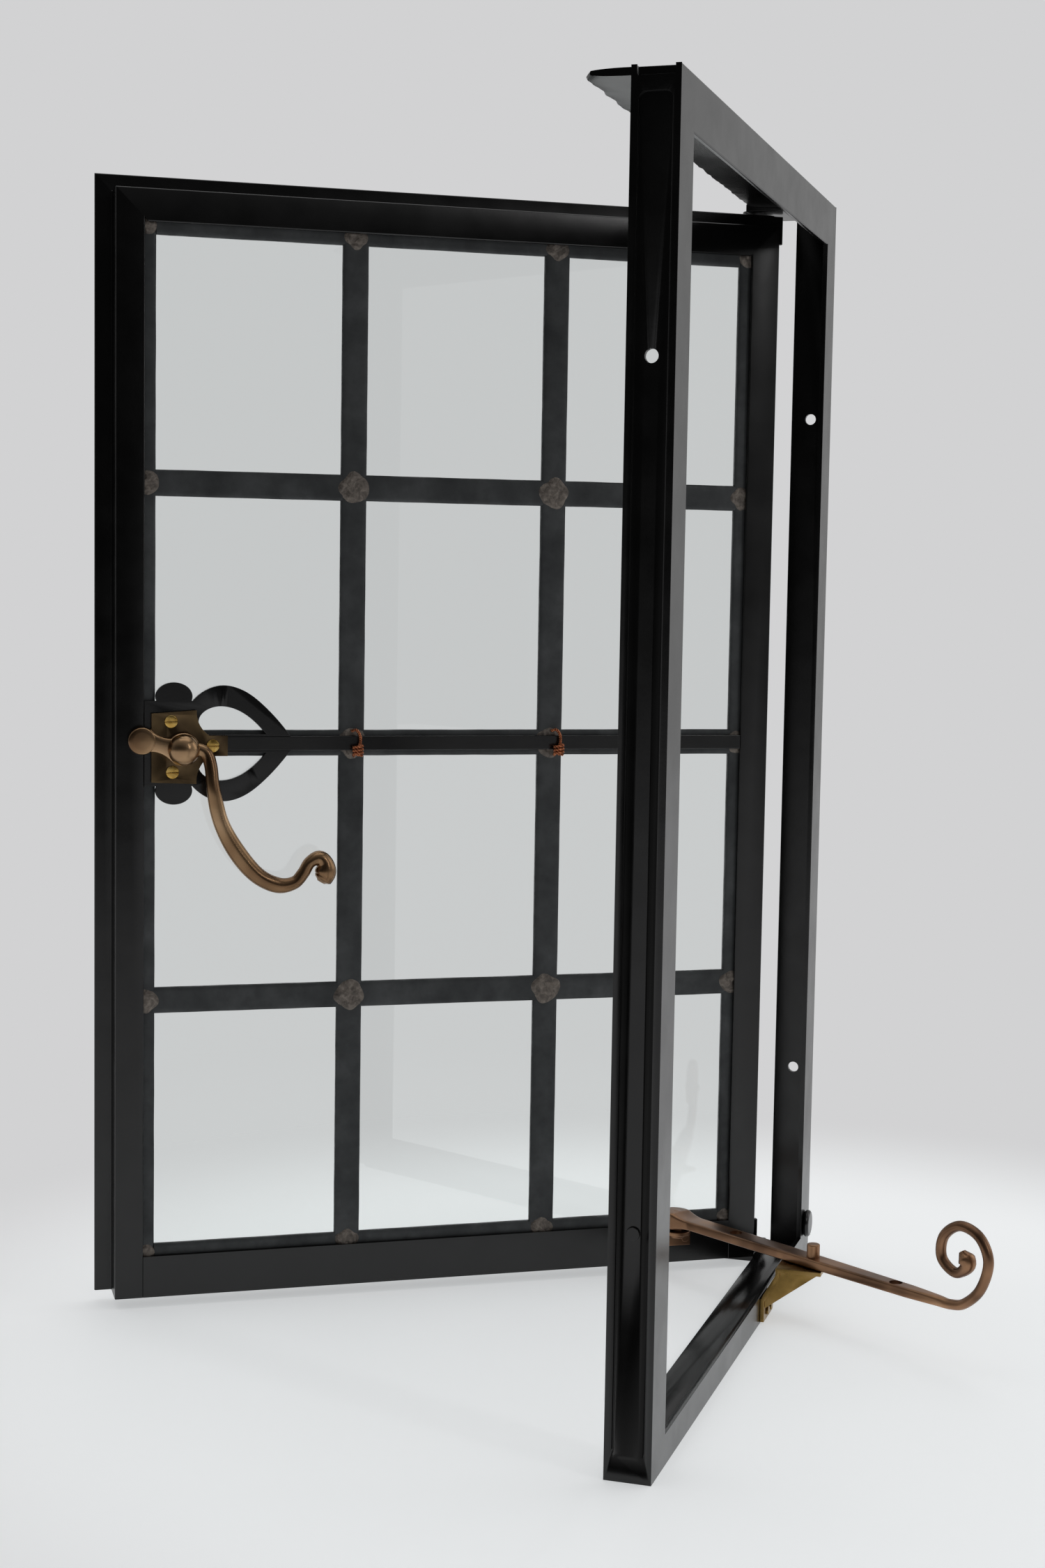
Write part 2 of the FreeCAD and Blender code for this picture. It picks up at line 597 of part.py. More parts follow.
backLow, backHigh, backRight = 326.0, 371.0, 56.0
tabLow, tabHigh, tabRight = 343.0, 355.5, 75.0
edges = lineXZ([(backRight, backHigh), (plateLeft, backHigh - 2), (plateLeft, backLow + 1), (backRight, backLow)], plateFront)
edges.append(sweepIn((backRight, backLow), (58.5, 337.0), (64.0, tabLow), plateFront))
edges += lineXZ([(64.0, tabLow), (tabRight, tabLow), (tabRight, tabHigh), (64.0, tabHigh)], plateFront)
edges.append(sweepIn((64.0, tabHigh), (58.5, 361.0), (backRight, backHigh), plateFront))
backplate = Part.Face(Part.Wire(edges)).extrude(vec(0, plateT, 0))
screwSpots = [(40.4, 364.2), (41.3, 333.3), (65.8, 349.3)]
screwRadius = 3.9
sunk = [Part.makeCylinder(screwRadius, 1.4, vec(x, plateFront, z), vec(0, 1, 0)) for x, z in screwSpots]
spindleCut = Part.makeCylinder(size["spindle_radius"], plateT, vec(hx, plateFront, hz), vec(0, 1, 0))
backplate = backplate.cut(sunk + [spindleCut])
keep(feature("handle_backplate", backplate), "handle_backplate", onSash)

screws = []
for n, (x, z) in enumerate(screwSpots):
    disc = rod("screw_disc_%d" % n, (x, plateFront + 1.4, z), (0, -1, 0), "%g" % screwRadius, "2")
    across = block("screw_slot_%d" % n, (x - 5, plateFront - 0.6, z - 0.5), "10", "0.8", "1")
    screws.append(cutAway("screw_%d" % n, disc, [across]))
keep(grouped("handle_screws", screws), "handle_screws", onSash)

spindleTop = plateFront - 5.0
spindle = rod("handle_spindle", (hx, face + plateT, hz), (0, -1, 0), "sizes.spindle_radius", "%g" % (face + plateT - spindleTop))
keep(spindle, "handle_spindle", onSash)

# The cockspur: a collar and dome on the spindle, a nose that laps the frame's leg,
# and a lever that runs out, down and round to a scroll.
collarBack = plateFront - 0.3
domeR = size["dome_radius"]
noseBack = face - 4.2
noseX, noseZ = 22.7, 352.6
collar = Part.makeCylinder(domeR, 5.7, vec(hx, collarBack, hz), vec(0, -1, 0))
domeSphere = Part.makeSphere(domeR * 1.25, vec(hx, collarBack + 0.2, hz))
domeKeep = Part.makeCylinder(domeR, 14, vec(hx, collarBack - 5, hz), vec(0, -1, 0))
dome = domeSphere.common(domeKeep)
flatNose = Part.makeCylinder(size["nose_radius"], 4.0, vec(noseX, noseBack, noseZ), vec(0, -1, 0))
armLine = vec(noseX - hx, 0, noseZ - hz)
armBox = Part.makeBox(armLine.Length, 4.5, 9, vec(0, -4.5, -4.5))
armTurn = -math.degrees(math.atan2(armLine.z, armLine.x))
armBox.Placement = FreeCAD.Placement(vec(hx, noseBack, hz), FreeCAD.Rotation(vec(0, 1, 0), armTurn)).multiply(armBox.Placement)
leverY = face - 12.5
leverPath = [
    (hx + 5, 347.3), (60.5, 345.5), (65, 334), (67, 318), (70.5, 301), (79.5, 284.5),
    (92, 270.5), (105, 265.2), (116, 268.5), (121.7, 276.5),
]
spine = Part.BSplineCurve()
spine.interpolate([vec(x, leverY, z) for x, z in leverPath])
spineEdge = spine.toShape()
startWay = spineEdge.tangentAt(spineEdge.FirstParameter)
endWay = spineEdge.tangentAt(spineEdge.LastParameter)
startRing = Part.Wire(Part.makeCircle(3.5, spineEdge.firstVertex().Point, startWay))
endRing = Part.Wire(Part.makeCircle(4.4, spineEdge.lastVertex().Point, endWay))
lever = Part.Wire(spineEdge).makePipeShell([startRing, endRing], True, False)
snail = Part.makeCylinder(9.2, 9.0, vec(131.0, leverY - 4.5, 271.6), vec(0, 1, 0))
snail = snail.makeFillet(3.0, [e for e in snail.Edges if e.Curve.TypeId == "Part::GeomCircle"])
bore = Part.makeCylinder(size["spindle_radius"] + size["running_gap"], 5.9, vec(hx, collarBack + 1, hz), vec(0, -1, 0))
cockspur = collar.fuse([dome, flatNose, armBox, lever, snail]).cut(bore).removeSplitter()
keep(feature("cockspur_handle", cockspur), "cockspur_handle", onSash)

# ---- stay: bracket on the bottom rail, loose pivot pin, tapered bar with a curl ----
stayX = size["stay_x"]
stayY = face - size["stay_gap"]
stayLow = size["stay_low"]
stayT = size["stay_thick"]
sheetT = size["sheet_thick"]
shelfTop = stayLow - 4.0
shelfLow = shelfTop - sheetT
plateLow = size["sill_leg"] + 1.4
half = 13.0
upleaf = block("stay_bracket_leaf", (stayX - half, face - sheetT, plateLow), "%g" % (2 * half),
               "sizes.sheet_thick", "%g" % (shelfTop - plateLow))
shelf = block("stay_bracket_shelf", (stayX - 9, stayY, shelfLow), "18", "%g" % (face - sheetT - stayY), "sizes.sheet_thick")
shelfEnd = rod("stay_bracket_end", (stayX, stayY, shelfLow), (0, 0, 1), "9", "sizes.sheet_thick")
shelfBore = rod("stay_bracket_bore", (stayX, stayY, shelfLow - 1), (0, 0, 1),
                "sizes.pin_radius + sizes.running_gap", "sizes.sheet_thick + 2")
stayBracket = cutAway("stay_bracket", joined("stay_bracket_solid", [upleaf, shelf, shelfEnd]), [shelfBore])
keep(stayBracket, "stay_bracket", onSash)
bracketScrews = [
    rod("bracket_screw_%d" % n, (stayX + dx, face - sheetT, plateLow + 5), (0, -1, 0), "2.6", "1.2")
    for n, dx in enumerate((-9.0, 9.0))
]
keep(grouped("stay_bracket_screws", bracketScrews), "stay_bracket_screws", onSash)

eyeLow = shelfTop + 0.4
eyeHigh = stayLow + stayT + 3.0
pinParts = [
    rod("stay_pin_shank", (stayX, stayY, shelfLow - 2.5), (0, 0, 1), "sizes.pin_radius", "%g" % (eyeHigh + 2.2 - shelfLow)),
    rod("stay_pin_tail", (stayX, stayY, shelfLow - 2.5), (0, 0, 1), "5", "2.2"),
]
keep(joined("stay_pivot_pin", pinParts), "stay_pivot_pin", onSash)

# The stay is drawn along +X from its pivot and then turned to its direction.
pinPlace = onSash.multVec(vec(stayX, stayY, 0))
stayTurn = FreeCAD.Rotation(vec(0, 0, 1), size["stay_turn"])
onStay = FreeCAD.Placement(pinPlace, stayTurn)
barMiddle = stayLow + stayT / 2.0


def crossSection(x, width, thick):
    y, z = width / 2.0, thick / 2.0
    corners = [(x, -y, barMiddle - z), (x, y, barMiddle - z), (x, y, barMiddle + z), (x, -y, barMiddle + z)]
    return Part.makePolygon([vec(*c) for c in corners + corners[:1]])


endX = size["stay_end"]
pegX = size["stay_first"] + size["stay_pitch"]
bar = Part.makeLoft([crossSection(3, 15, stayT), crossSection(endX * 0.86, 9.5, stayT), crossSection(endX, 5.6, 5.4)], True, True)
eye = Part.makeCylinder(size["eye_radius"], eyeHigh - eyeLow, vec(0, 0, eyeLow))
flare = Part.makeCone(size["eye_radius"], 7.6, 14, vec(4, 0, barMiddle), vec(1, 0, 0))
flareKeep = Part.makeBox(16, 30, eyeHigh - eyeLow, vec(4, -15, eyeLow))
curlPoints = [
    (endX - 2, barMiddle), (endX + 10, barMiddle + 3), (endX + 21, barMiddle + 14), (endX + 26, barMiddle + 31),
    (endX + 19, barMiddle + 44), (endX + 5, barMiddle + 47.5), (endX - 6.5, barMiddle + 39),
    (endX - 7.5, barMiddle + 26), (endX + 3, barMiddle + 19.5), (endX + 11.5, barMiddle + 26), (endX + 7, barMiddle + 33),
]
curl = Part.BSplineCurve()
curl.interpolate([vec(x, 0, z) for x, z in curlPoints])
curlEdge = curl.toShape()
curlWay = curlEdge.tangentAt(curlEdge.FirstParameter)
curlRing = Part.Wire(Part.makeCircle(2.8, curlEdge.firstVertex().Point, curlWay))
curlRod = Part.Wire(curlEdge).makePipeShell([curlRing], True, False)
curlBall = Part.makeSphere(3.9, curlEdge.lastVertex().Point)
# The eye's heel is relieved underneath, so that the bar can be lifted off its peg.
heel = [(0, eyeLow - 1), (0, eyeLow), (-12, eyeLow + 1.6), (-12, eyeLow - 1)]
heelWire = Part.makePolygon([vec(x, -12, z) for x, z in heel + heel[:1]])
heelCut = Part.Face(heelWire).extrude(vec(0, 24, 0))
stay = bar.fuse([eye, flare.common(flareKeep), curlRod, curlBall]).cut(heelCut)
holes = [Part.makeCylinder(size["eye_bore"], 30, vec(0, 0, eyeLow - 5))]
for x in (size["stay_first"], pegX, pegX + size["stay_pitch"]):
    holes.append(Part.makeCylinder(size["peg_radius"], stayT + 2, vec(x, 0, stayLow - 1)))
stay = stay.cut(holes).removeSplitter()
keep(feature("casement_stay", stay), "casement_stay", onStay)
pegTip = rod("peg_tip", (pegX, 0, stayLow), (0, 0, 1), "sizes.peg_radius", "sizes.stay_thick + 8")
keep(pegTip, "peg_tip", onStay)

# ---- peg bracket on the sill, under the stay ----
pegPlace = onStay.multVec(vec(pegX, 0, 0)) - onFrame.Base
rest = stayLow - 0.3
bracketLeft = pegPlace.x - size["bracket_width"] / 2.0
tip = pegPlace.y - 7.0
strap = [
    (-sheetT, 1.0), (0, 1.0), (0, 15.0), (-9.0, rest - sheetT - 2), (-9.0, rest), (tip, rest),
    (tip, rest - sheetT), (-9.0 - sheetT, rest - sheetT), (-9.0 - sheetT, rest - sheetT - 3), (-sheetT, 14.0),
]
strapWire = Part.makePolygon([vec(bracketLeft, y, z) for y, z in strap + strap[:1]])
strapSolid = Part.Face(strapWire).extrude(vec(size["bracket_width"], 0, 0))
gusset = [(tip + 2, rest - sheetT), (-9.0 - sheetT, rest - sheetT), (-sheetT, 14.0), (-sheetT, 9.0)]
gussetX = bracketLeft + 3.0
gussetWire = Part.makePolygon([vec(gussetX, y, z) for y, z in gusset + gusset[:1]])
gussetSolid = Part.Face(gussetWire).extrude(vec(2.5, 0, 0))
bracket = strapSolid.fuse(gussetSolid)
bracket = bracket.cut(Part.makeCylinder(size["peg_radius"], 40, vec(pegPlace.x, pegPlace.y, 10))).removeSplitter()
keep(feature("peg_bracket", bracket), "peg_bracket", onFrame)
peg = rod("stay_peg", (pegPlace.x, pegPlace.y, rest - sheetT - 2.5), (0, 0, 1), "sizes.peg_radius", "sizes.sheet_thick + 2.6")
keep(peg, "stay_peg", onFrame)
pegScrews = [
    rod("peg_screw_%d" % n, (bracketLeft + x, -sheetT, 6.0), (0, -1, 0), "2.6", "1.4")
    for n, x in enumerate((9.5, size["bracket_width"] - 4.5))
]
keep(grouped("peg_bracket_screws", pegScrews), "peg_bracket_screws", onFrame)
plug = rod("fixing_plug", (0.6, deep / 2.0, size["fixing_low"]), (1, 0, 0), "sizes.fixing_radius", "sizes.stile_web - 0.8")
keep(plug, "fixing_plug", onFrame)

# ---- prove every piece and write it ----
doc.recompute()
faults = [o.Label for o in doc.Objects if "Invalid" in o.State or "Error" in o.State]
faults += [t.Label for t in nodes if t.Shape.isNull() or not t.Shape.isValid() or not t.Shape.Solids]
if faults:
    raise RuntimeError("failed objects: " + ", ".join(faults))
os.makedirs("parts", exist_ok=True)
for thing in nodes:
    thing.Shape.exportStep(os.path.join("parts", thing.Label + ".step"))
    print("%-24s %9.0f mm3  %d solid(s)" % (thing.Label, thing.Shape.Volume, len(thing.Shape.Solids)))
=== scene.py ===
import math
import json
import bpy
import bmesh
import numpy as np
from mathutils import Matrix, Vector


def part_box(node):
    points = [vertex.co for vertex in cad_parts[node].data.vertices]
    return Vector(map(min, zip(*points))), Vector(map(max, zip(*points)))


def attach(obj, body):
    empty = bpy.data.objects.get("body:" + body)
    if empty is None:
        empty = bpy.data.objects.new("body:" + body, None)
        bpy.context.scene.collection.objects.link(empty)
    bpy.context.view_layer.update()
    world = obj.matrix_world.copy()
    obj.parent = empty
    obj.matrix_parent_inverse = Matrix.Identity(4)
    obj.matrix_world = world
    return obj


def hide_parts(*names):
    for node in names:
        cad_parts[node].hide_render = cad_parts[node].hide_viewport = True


# Leaded-light steel casement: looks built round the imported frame. Metres, +Z up.
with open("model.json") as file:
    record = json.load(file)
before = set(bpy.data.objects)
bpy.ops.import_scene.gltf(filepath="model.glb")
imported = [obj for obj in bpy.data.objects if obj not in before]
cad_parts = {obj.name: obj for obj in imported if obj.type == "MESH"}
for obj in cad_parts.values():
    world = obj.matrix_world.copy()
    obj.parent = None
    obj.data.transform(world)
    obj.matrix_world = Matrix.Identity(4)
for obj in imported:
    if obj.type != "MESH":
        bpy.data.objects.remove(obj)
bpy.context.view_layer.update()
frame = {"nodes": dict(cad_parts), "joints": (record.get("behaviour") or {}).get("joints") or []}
cad = frame["nodes"]
joints = {j["name"]: j for j in frame["joints"]}
mm = 0.001
print("stage: frame loaded")

# Sash axes, worked out from the joints. Drawn numbers below are millimetres on the shut
# sash: x from the handle side of the fixed frame, y from its room face outdoors, z up.
hingeAt = np.array(joints["sash_swing"]["pos_m"], float)
towardsRoom = np.array(joints["handle_turn"]["axis"], float)
sashY = -towardsRoom / np.linalg.norm(towardsRoom)
sashX = np.array([sashY[1], -sashY[0], 0.0])
hinge = {"x": 431.7, "y": 52.5}
stayAt = np.array(joints["stay_swivel"]["pos_m"], float)
liftAxis = np.array(joints["stay_lift"]["axis"], float)
stayX = np.array([-liftAxis[1], liftAxis[0], 0.0])
stayY = np.array([-stayX[1], stayX[0], 0.0])
upward = np.array([0.0, 0.0, 1.0])


# Drawn point on the shut sash to the open sash: hinge + (x - hx) * sashX + (y - hy) * sashY.
def onSash(points):
    p = np.asarray(points, float)
    x = (p[..., 0:1] - hinge["x"]) * mm
    y = (p[..., 1:2] - hinge["y"]) * mm
    flat = np.array([hingeAt[0], hingeAt[1], 0.0])
    return flat + x * sashX + y * sashY + p[..., 2:3] * mm * upward


# (distance from the pivot, sideways, height) in millimetres to the stay's place.
def onStay(points):
    p = np.asarray(points, float)
    pivot = np.array([stayAt[0], stayAt[1], 0.0])
    level = pivot + p[..., 0:1] * mm * stayX + p[..., 1:2] * mm * stayY
    return level + p[..., 2:3] * mm * upward


# Row position to the drawn numbers of the shut sash, the inverse of onSash.
def shutPlace(co):
    rel = co - np.array([hingeAt[0], hingeAt[1], 0.0])
    x = rel @ sashX / mm + hinge["x"]
    y = rel @ sashY / mm + hinge["y"]
    return np.stack([x, y, co[..., 2] / mm], -1)


# materials
# sRGB hex to linear: c / 12.92 below 0.04045, else ((c + 0.055) / 1.055) ^ 2.4.
def hexColour(text):
    c = np.array([int(text[i:i + 2], 16) / 255.0 for i in (1, 3, 5)])
    linear = np.where(c <= 0.04045, c / 12.92, ((c + 0.055) / 1.055) ** 2.4)
    return (*[float(v) for v in linear], 1.0)


# Add a node, set its properties and sockets, and link (input, source socket) pairs.
def addNode(tree, kind, settings=None, values=None, links=None):
    node = tree.nodes.new(kind)
    for key, value in (settings or {}).items():
        setattr(node, key, value)
    for key, value in (values or {}).items():
        node.inputs[key].default_value = value
    for key, source in (links or {}).items():
        tree.links.new(source, node.inputs[key])
    return node


# A material with its shader's sockets set; Transmission_Weight stands for Transmission Weight.
def newMaterial(name, **principled):
    mat = bpy.data.materials.new(name)
    mat.use_nodes = True
    shader = mat.node_tree.nodes["Principled BSDF"]
    for key, value in principled.items():
        shader.inputs[key.replace("_", " ")].default_value = value
    return mat, mat.node_tree, shader


# Noise scale whose features are about that many millimetres apart.
def perMetre(spacing):
    return 1.0 / (spacing * mm)


# The piece's own place in metres, which a pattern may be stretched along.
def objectCoords(tree, stretch=(1, 1, 1)):
    coords = addNode(tree, "ShaderNodeTexCoord")
    links = {"Vector": coords.outputs["Object"]}
    return addNode(tree, "ShaderNodeMapping", values={"Scale": stretch}, links=links)


# Noise with features of that spacing in millimetres.
def noise(tree, place, spacing, detail=3.0, rough=0.55, distortion=0.0):
    values = {"Scale": perMetre(spacing), "Detail": detail, "Roughness": rough}
    values["Distortion"] = distortion
    links = {"Vector": place.outputs["Vector"]}
    return addNode(tree, "ShaderNodeTexNoise", values=values, links=links)


# A colour ramp through (position, hex) stops.
def ramp(tree, source, stops):
    node = addNode(tree, "ShaderNodeValToRGB", links={"Fac": source})
    line = node.color_ramp
    while len(line.elements) < len(stops):
        line.elements.new(0.5)
    for element, (place, colour) in zip(line.elements, stops):
        element.position = place
        element.color = hexColour(colour)
    return node


# Map a value from one range to another.
def spread(tree, source, low, high, fromLow=0.3, fromHigh=0.7):
    values = {"From Min": fromLow, "From Max": fromHigh, "To Min": low, "To Max": high}
    return addNode(tree, "ShaderNodeMapRange", values=values, links={"Value": source})


# Height in millimetres for the noise's full swing.
def bump(tree, shader, source, height, strength=1.0, under=None):
    links = {"Height": source}
    if under is not None:
        links["Normal"] = under.outputs["Normal"]
    values = {"Distance": height * mm, "Strength": strength}
    node = addNode(tree, "ShaderNodeBump", values=values, links=links)
    tree.links.new(node.outputs["Normal"], shader.inputs["Normal"])
    return node


# Brushed-on gloss black enamel over rolled steel: laid off smooth, with fine dust in it.
def blackEnamel():
    mat, tree, shader = newMaterial("black gloss enamel on rolled steel", IOR=1.5)
    place = objectCoords(tree)
    shades = [(0.3, "#020202"), (0.62, "#040404"), (0.8, "#070707")]
    tint = ramp(tree, noise(tree, place, 60).outputs["Fac"], shades)
    tree.links.new(tint.outputs["Color"], shader.inputs["Base Color"])
    gloss = spread(tree, noise(tree, place, 24).outputs["Fac"], 0.2, 0.27)
    tree.links.new(gloss.outputs["Result"], shader.inputs["Roughness"])
    waves = bump(tree, shader, noise(tree, place, 22, 1.0).outputs["Fac"], 0.10)
    bump(tree, shader, noise(tree, place, 1.6, 1.0).outputs["Fac"], 0.012, under=waves)
    return mat


# Milled lead came with a grey patina: dull, drawn along its length, with soft dents.
def milledLead():
    mat, tree, shader = newMaterial("milled lead with grey patina", Metallic=0.55)
    place = objectCoords(tree)
    clouds = noise(tree, place, 26, 5.0, 0.6)
    shades = [(0.28, "#333536"), (0.5, "#3f4142"), (0.72, "#4d4f50")]
    tint = ramp(tree, clouds.outputs["Fac"], shades)
    tree.links.new(tint.outputs["Color"], shader.inputs["Base Color"])
    dull = spread(tree, noise(tree, place, 7, 4.0).outputs["Fac"], 0.42, 0.66)
    tree.links.new(dull.outputs["Result"], shader.inputs["Roughness"])
    dents = bump(tree, shader, noise(tree, place, 14, 2.0).outputs["Fac"], 0.2)
    bump(tree, shader, noise(tree, place, 1.5, 2.0).outputs["Fac"], 0.03, under=dents)
    return mat


# Tin-lead solder, melted on with an iron and tarnished: grey-brown, pitted and lumpy.
def wipedSolder():
    mat, tree, shader = newMaterial("wiped solder tarnished", Metallic=0.5)
    place = objectCoords(tree)
    cells = noise(tree, place, 4.5, 5.0, 0.65, 0.8)
    shades = [(0.25, "#3a3632"), (0.45, "#5f5852"), (0.6, "#7d756d"), (0.78, "#a0978d")]
    tint = ramp(tree, cells.outputs["Fac"], shades)
    tree.links.new(tint.outputs["Color"], shader.inputs["Base Color"])
    dull = spread(tree, cells.outputs["Fac"], 0.4, 0.7)
    tree.links.new(dull.outputs["Result"], shader.inputs["Roughness"])
    bump(tree, shader, noise(tree, place, 2.6, 3.0, 0.6).outputs["Fac"], 0.8)
    return mat


# Clear drawn glass: a faint green-grey, with slow draw waves that run upright.
def drawnGlass():
    sockets = {"Transmission_Weight": 1.0, "IOR": 1.5, "Roughness": 0.0}
    mat, tree, shader = newMaterial("clear drawn glass", **sockets)
    shader.inputs["Base Color"].default_value = hexColour("#f4f7f6")
    place = objectCoords(tree, (1.0, 1.0, 0.3))
    bump(tree, shader, noise(tree, place, 90, 0.0).outputs["Fac"], 0.06)
    return mat


# Linseed putty smoothed with a knife and painted over in black: softer and duller than steel.
def oldPutty():
    mat, tree, shader = newMaterial("linseed putty painted black", IOR=1.48)
    place = objectCoords(tree)
    tint = ramp(tree, noise(tree, place, 18).outputs["Fac"], [(0.3, "#101111"), (0.7, "#1d1e1e")])
    tree.links.new(tint.outputs["Color"], shader.inputs["Base Color"])
    dull = spread(tree, noise(tree, place, 8).outputs["Fac"], 0.35, 0.55)
    tree.links.new(dull.outputs["Result"], shader.inputs["Roughness"])
    bump(tree, shader, noise(tree, place, 6).outputs["Fac"], 0.3)
    return mat


# Copper alloy with a patina that is rubbed back in patches, over fine polishing grain.
def patinatedMetal(name, stops, low, high, cloud, grain, wave=0.03):
    mat, tree, shader = newMaterial(name, Metallic=1.0)
    place = objectCoords(tree)
    clouds = noise(tree, place, cloud, 2.0, 0.5, 0.4)
    tint = ramp(tree, clouds.outputs["Fac"], stops)
    tree.links.new(tint.outputs["Color"], shader.inputs["Base Color"])
    gloss = spread(tree, noise(tree, place, cloud * 0.5, 1.0).outputs["Fac"], low, high)
    tree.links.new(gloss.outputs["Result"], shader.inputs["Roughness"])
    waves = bump(tree, shader, noise(tree, place, cloud * 0.6, 1.0).outputs["Fac"], wave)
    bump(tree, shader, noise(tree, place, grain, 1.0).outputs["Fac"], 0.002, under=waves)
    return mat


enamel = blackEnamel()
lead = milledLead()
solder = wipedSolder()
glass = drawnGlass()
putty = oldPutty()
# Brown and smooth from handling, lighter where the patina is rubbed back.
bronzeStops = [(0.25, "#5e4735"), (0.45, "#7f6349"), (0.6, "#9a7d5e"), (0.8, "#b99a79")]
bronze = patinatedMetal("cast bronze with brown patina", bronzeStops, 0.22, 0.3, 40, 0.9)
# Dark olive-brown sheet, a little duller, as its face is seldom touched.
plateStops = [(0.25, "#3b3024"), (0.5, "#5c4c37"), (0.75, "#7a6649")]
sheetBronze = patinatedMetal("rolled bronze plate aged", plateStops, 0.26, 0.36, 20, 0.8, 0.02)
# Red-brown, hammered and rubbed by the peg: broad soft patches.
stayStops = [(0.25, "#553f31"), (0.5, "#85654e"), (0.7, "#a57f60"), (0.85, "#c09b7c")]
stayBronze = patinatedMetal("forged bronze with red-brown patina", stayStops, 0.3, 0.38, 34, 0.9)
# Yellow-brown sheet with small dull patches.
bracketStops = [(0.25, "#5a4826"), (0.5, "#856b3c"), (0.75, "#a58858")]
brass = patinatedMetal("folded brass sheet tarnished", bracketStops, 0.24, 0.34, 18, 0.8, 0.03)
# Heads kept bright by the driver: pale yellow.
screwStops = [(0.3, "#b8934a"), (0.55, "#dcb768"), (0.8, "#efd596")]
brightBrass = patinatedMetal("turned brass polished", screwStops, 0.22, 0.32, 5, 0.5, 0.02)
# Fresh wire: pink-orange and fairly bright.
wireStops = [(0.3, "#85503a"), (0.55, "#b5714e"), (0.8, "#dda27e")]
copper = patinatedMetal("annealed copper wire", wireStops, 0.22, 0.32, 4, 0.5, 0.02)
print("stage: materials")


# mesh helpers
# Quad indices of a grid, all at once: (i, j), (i, j+1), (i+1, j+1), (i+1, j).
def quads(rows, cols, closeRows, closeCols):
    i = np.arange(rows if closeRows else rows - 1)[:, None]
    j = np.arange(cols if closeCols else cols - 1)[None, :]
    i2 = (i + 1) % rows
    j2 = (j + 1) % cols
    return np.stack([i * cols + j, i * cols + j2, i2 * cols + j2, i2 * cols + j], -1).reshape(-1, 4)


# Put a mesh in the scene with its finish, body, slot and the CAD nodes that it stands in for.
def finishPiece(me, name, mat, body, replaced=(), sharp=40.0):
    me.materials.clear()
    me.materials.append(mat)
    me.shade_smooth()
    me.set_sharp_from_angle(angle=math.radians(sharp))
    piece = bpy.data.objects.new(name, me)
    bpy.context.scene.collection.objects.link(piece)
    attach(piece, body)
    if replaced:
        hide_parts(*replaced)
    return piece


# One mesh of several closed tubes; each grid is rows x cols x 3, round along cols, capped.
def solids(name, grids):
    coords, faces, base = [], [], 0
    for grid in grids:
        rows, cols = grid.shape[:2]
        ends = np.stack([grid[0].mean(0), grid[-1].mean(0)])
        coords.append(np.concatenate([grid.reshape(-1, 3), ends]))
        faces.append((quads(rows, cols, False, True) + base).tolist())
        j = np.arange(cols)
        first, last = base + rows * cols, base + rows * cols + 1
        j2 = (j + 1) % cols
        faces.append(np.stack([np.full(cols, first), base + j2, base + j], -1).tolist())
        top = base + (rows - 1) * cols
        faces.append(np.stack([np.full(cols, last), top + j, top + j2], -1).tolist())
        base += rows * cols + 2
    me = bpy.data.meshes.new(name)
    me.from_pydata(np.concatenate(coords).tolist(), [], [f for part in faces for f in part])
    outward(me)
    return me


# Turn a closed mesh's faces outwards.
def outward(me):
    bm = bmesh.new()
    bm.from_mesh(me)
    bmesh.ops.recalc_face_normals(bm, faces=bm.faces)
    bm.to_mesh(me)
    bm.free()


# Carry a section along a path: path + across * a + sideways * b for each (a, b) of shape.
def along(path, across, sideways, shape):
    reachA = across[:, None, :] * shape[..., 0:1]
    reachB = sideways[:, None, :] * shape[..., 1:2]
    return path[:, None, :] + reachA + reachB


# Superellipse sections: (halfA cos^(2/p), halfB sin^(2/p)) for each row's half widths.
def sections(count, halfA, halfB, power=2.0):
    t = np.linspace(0, 2 * np.pi, count, endpoint=False)
    p = np.broadcast_to(np.asarray(power, float), np.shape(halfA))[:, None]
    a = np.sign(np.cos(t)) * np.abs(np.cos(t)) ** (2.0 / p)
    b = np.sign(np.sin(t)) * np.abs(np.sin(t)) ** (2.0 / p)
    return np.stack([np.asarray(halfA)[:, None] * a, np.asarray(halfB)[:, None] * b], -1)


# Vectors divided by their lengths.
def unit(v):
    return v / np.linalg.norm(v, axis=-1, keepdims=True)


# Catmull-Rom curve through the points, evenly spaced along its length.
def smoothPath(points, count):
    p = np.asarray(points, float)
    ghost = np.vstack([2 * p[0] - p[1], p, 2 * p[-1] - p[-2]])
    u = np.linspace(0, len(p) - 1 - 1e-9, 40 * len(p))
    k = u.astype(int)
    f = (u - k)[:, None]
    a, b, c, d = ghost[k], ghost[k + 1], ghost[k + 2], ghost[k + 3]
    bend = (2 * a - 5 * b + 4 * c - d) * f ** 2
    twist = (3 * b - a - 3 * c + d) * f ** 3
    fine = 0.5 * (2 * b + (c - a) * f + bend + twist)
    run = np.concatenate([[0], np.cumsum(np.linalg.norm(np.diff(fine, axis=0), axis=1))])
    even = np.linspace(0, run[-1], count)
    return np.stack([np.interp(even, run, fine[:, n]) for n in range(p.shape[1])], -1)


# Values through (place, value) stops, rounded between them by a raised cosine.
def smoothValues(at, stops):
    places, values = np.asarray(stops, float).T
    n = np.clip(np.searchsorted(places, at, "right") - 1, 0, len(places) - 2)
    f = (at - places[n]) / (places[n + 1] - places[n])
    return values[n] + (values[n + 1] - values[n]) * 0.5 * (1 - np.cos(np.pi * np.clip(f, 0, 1)))


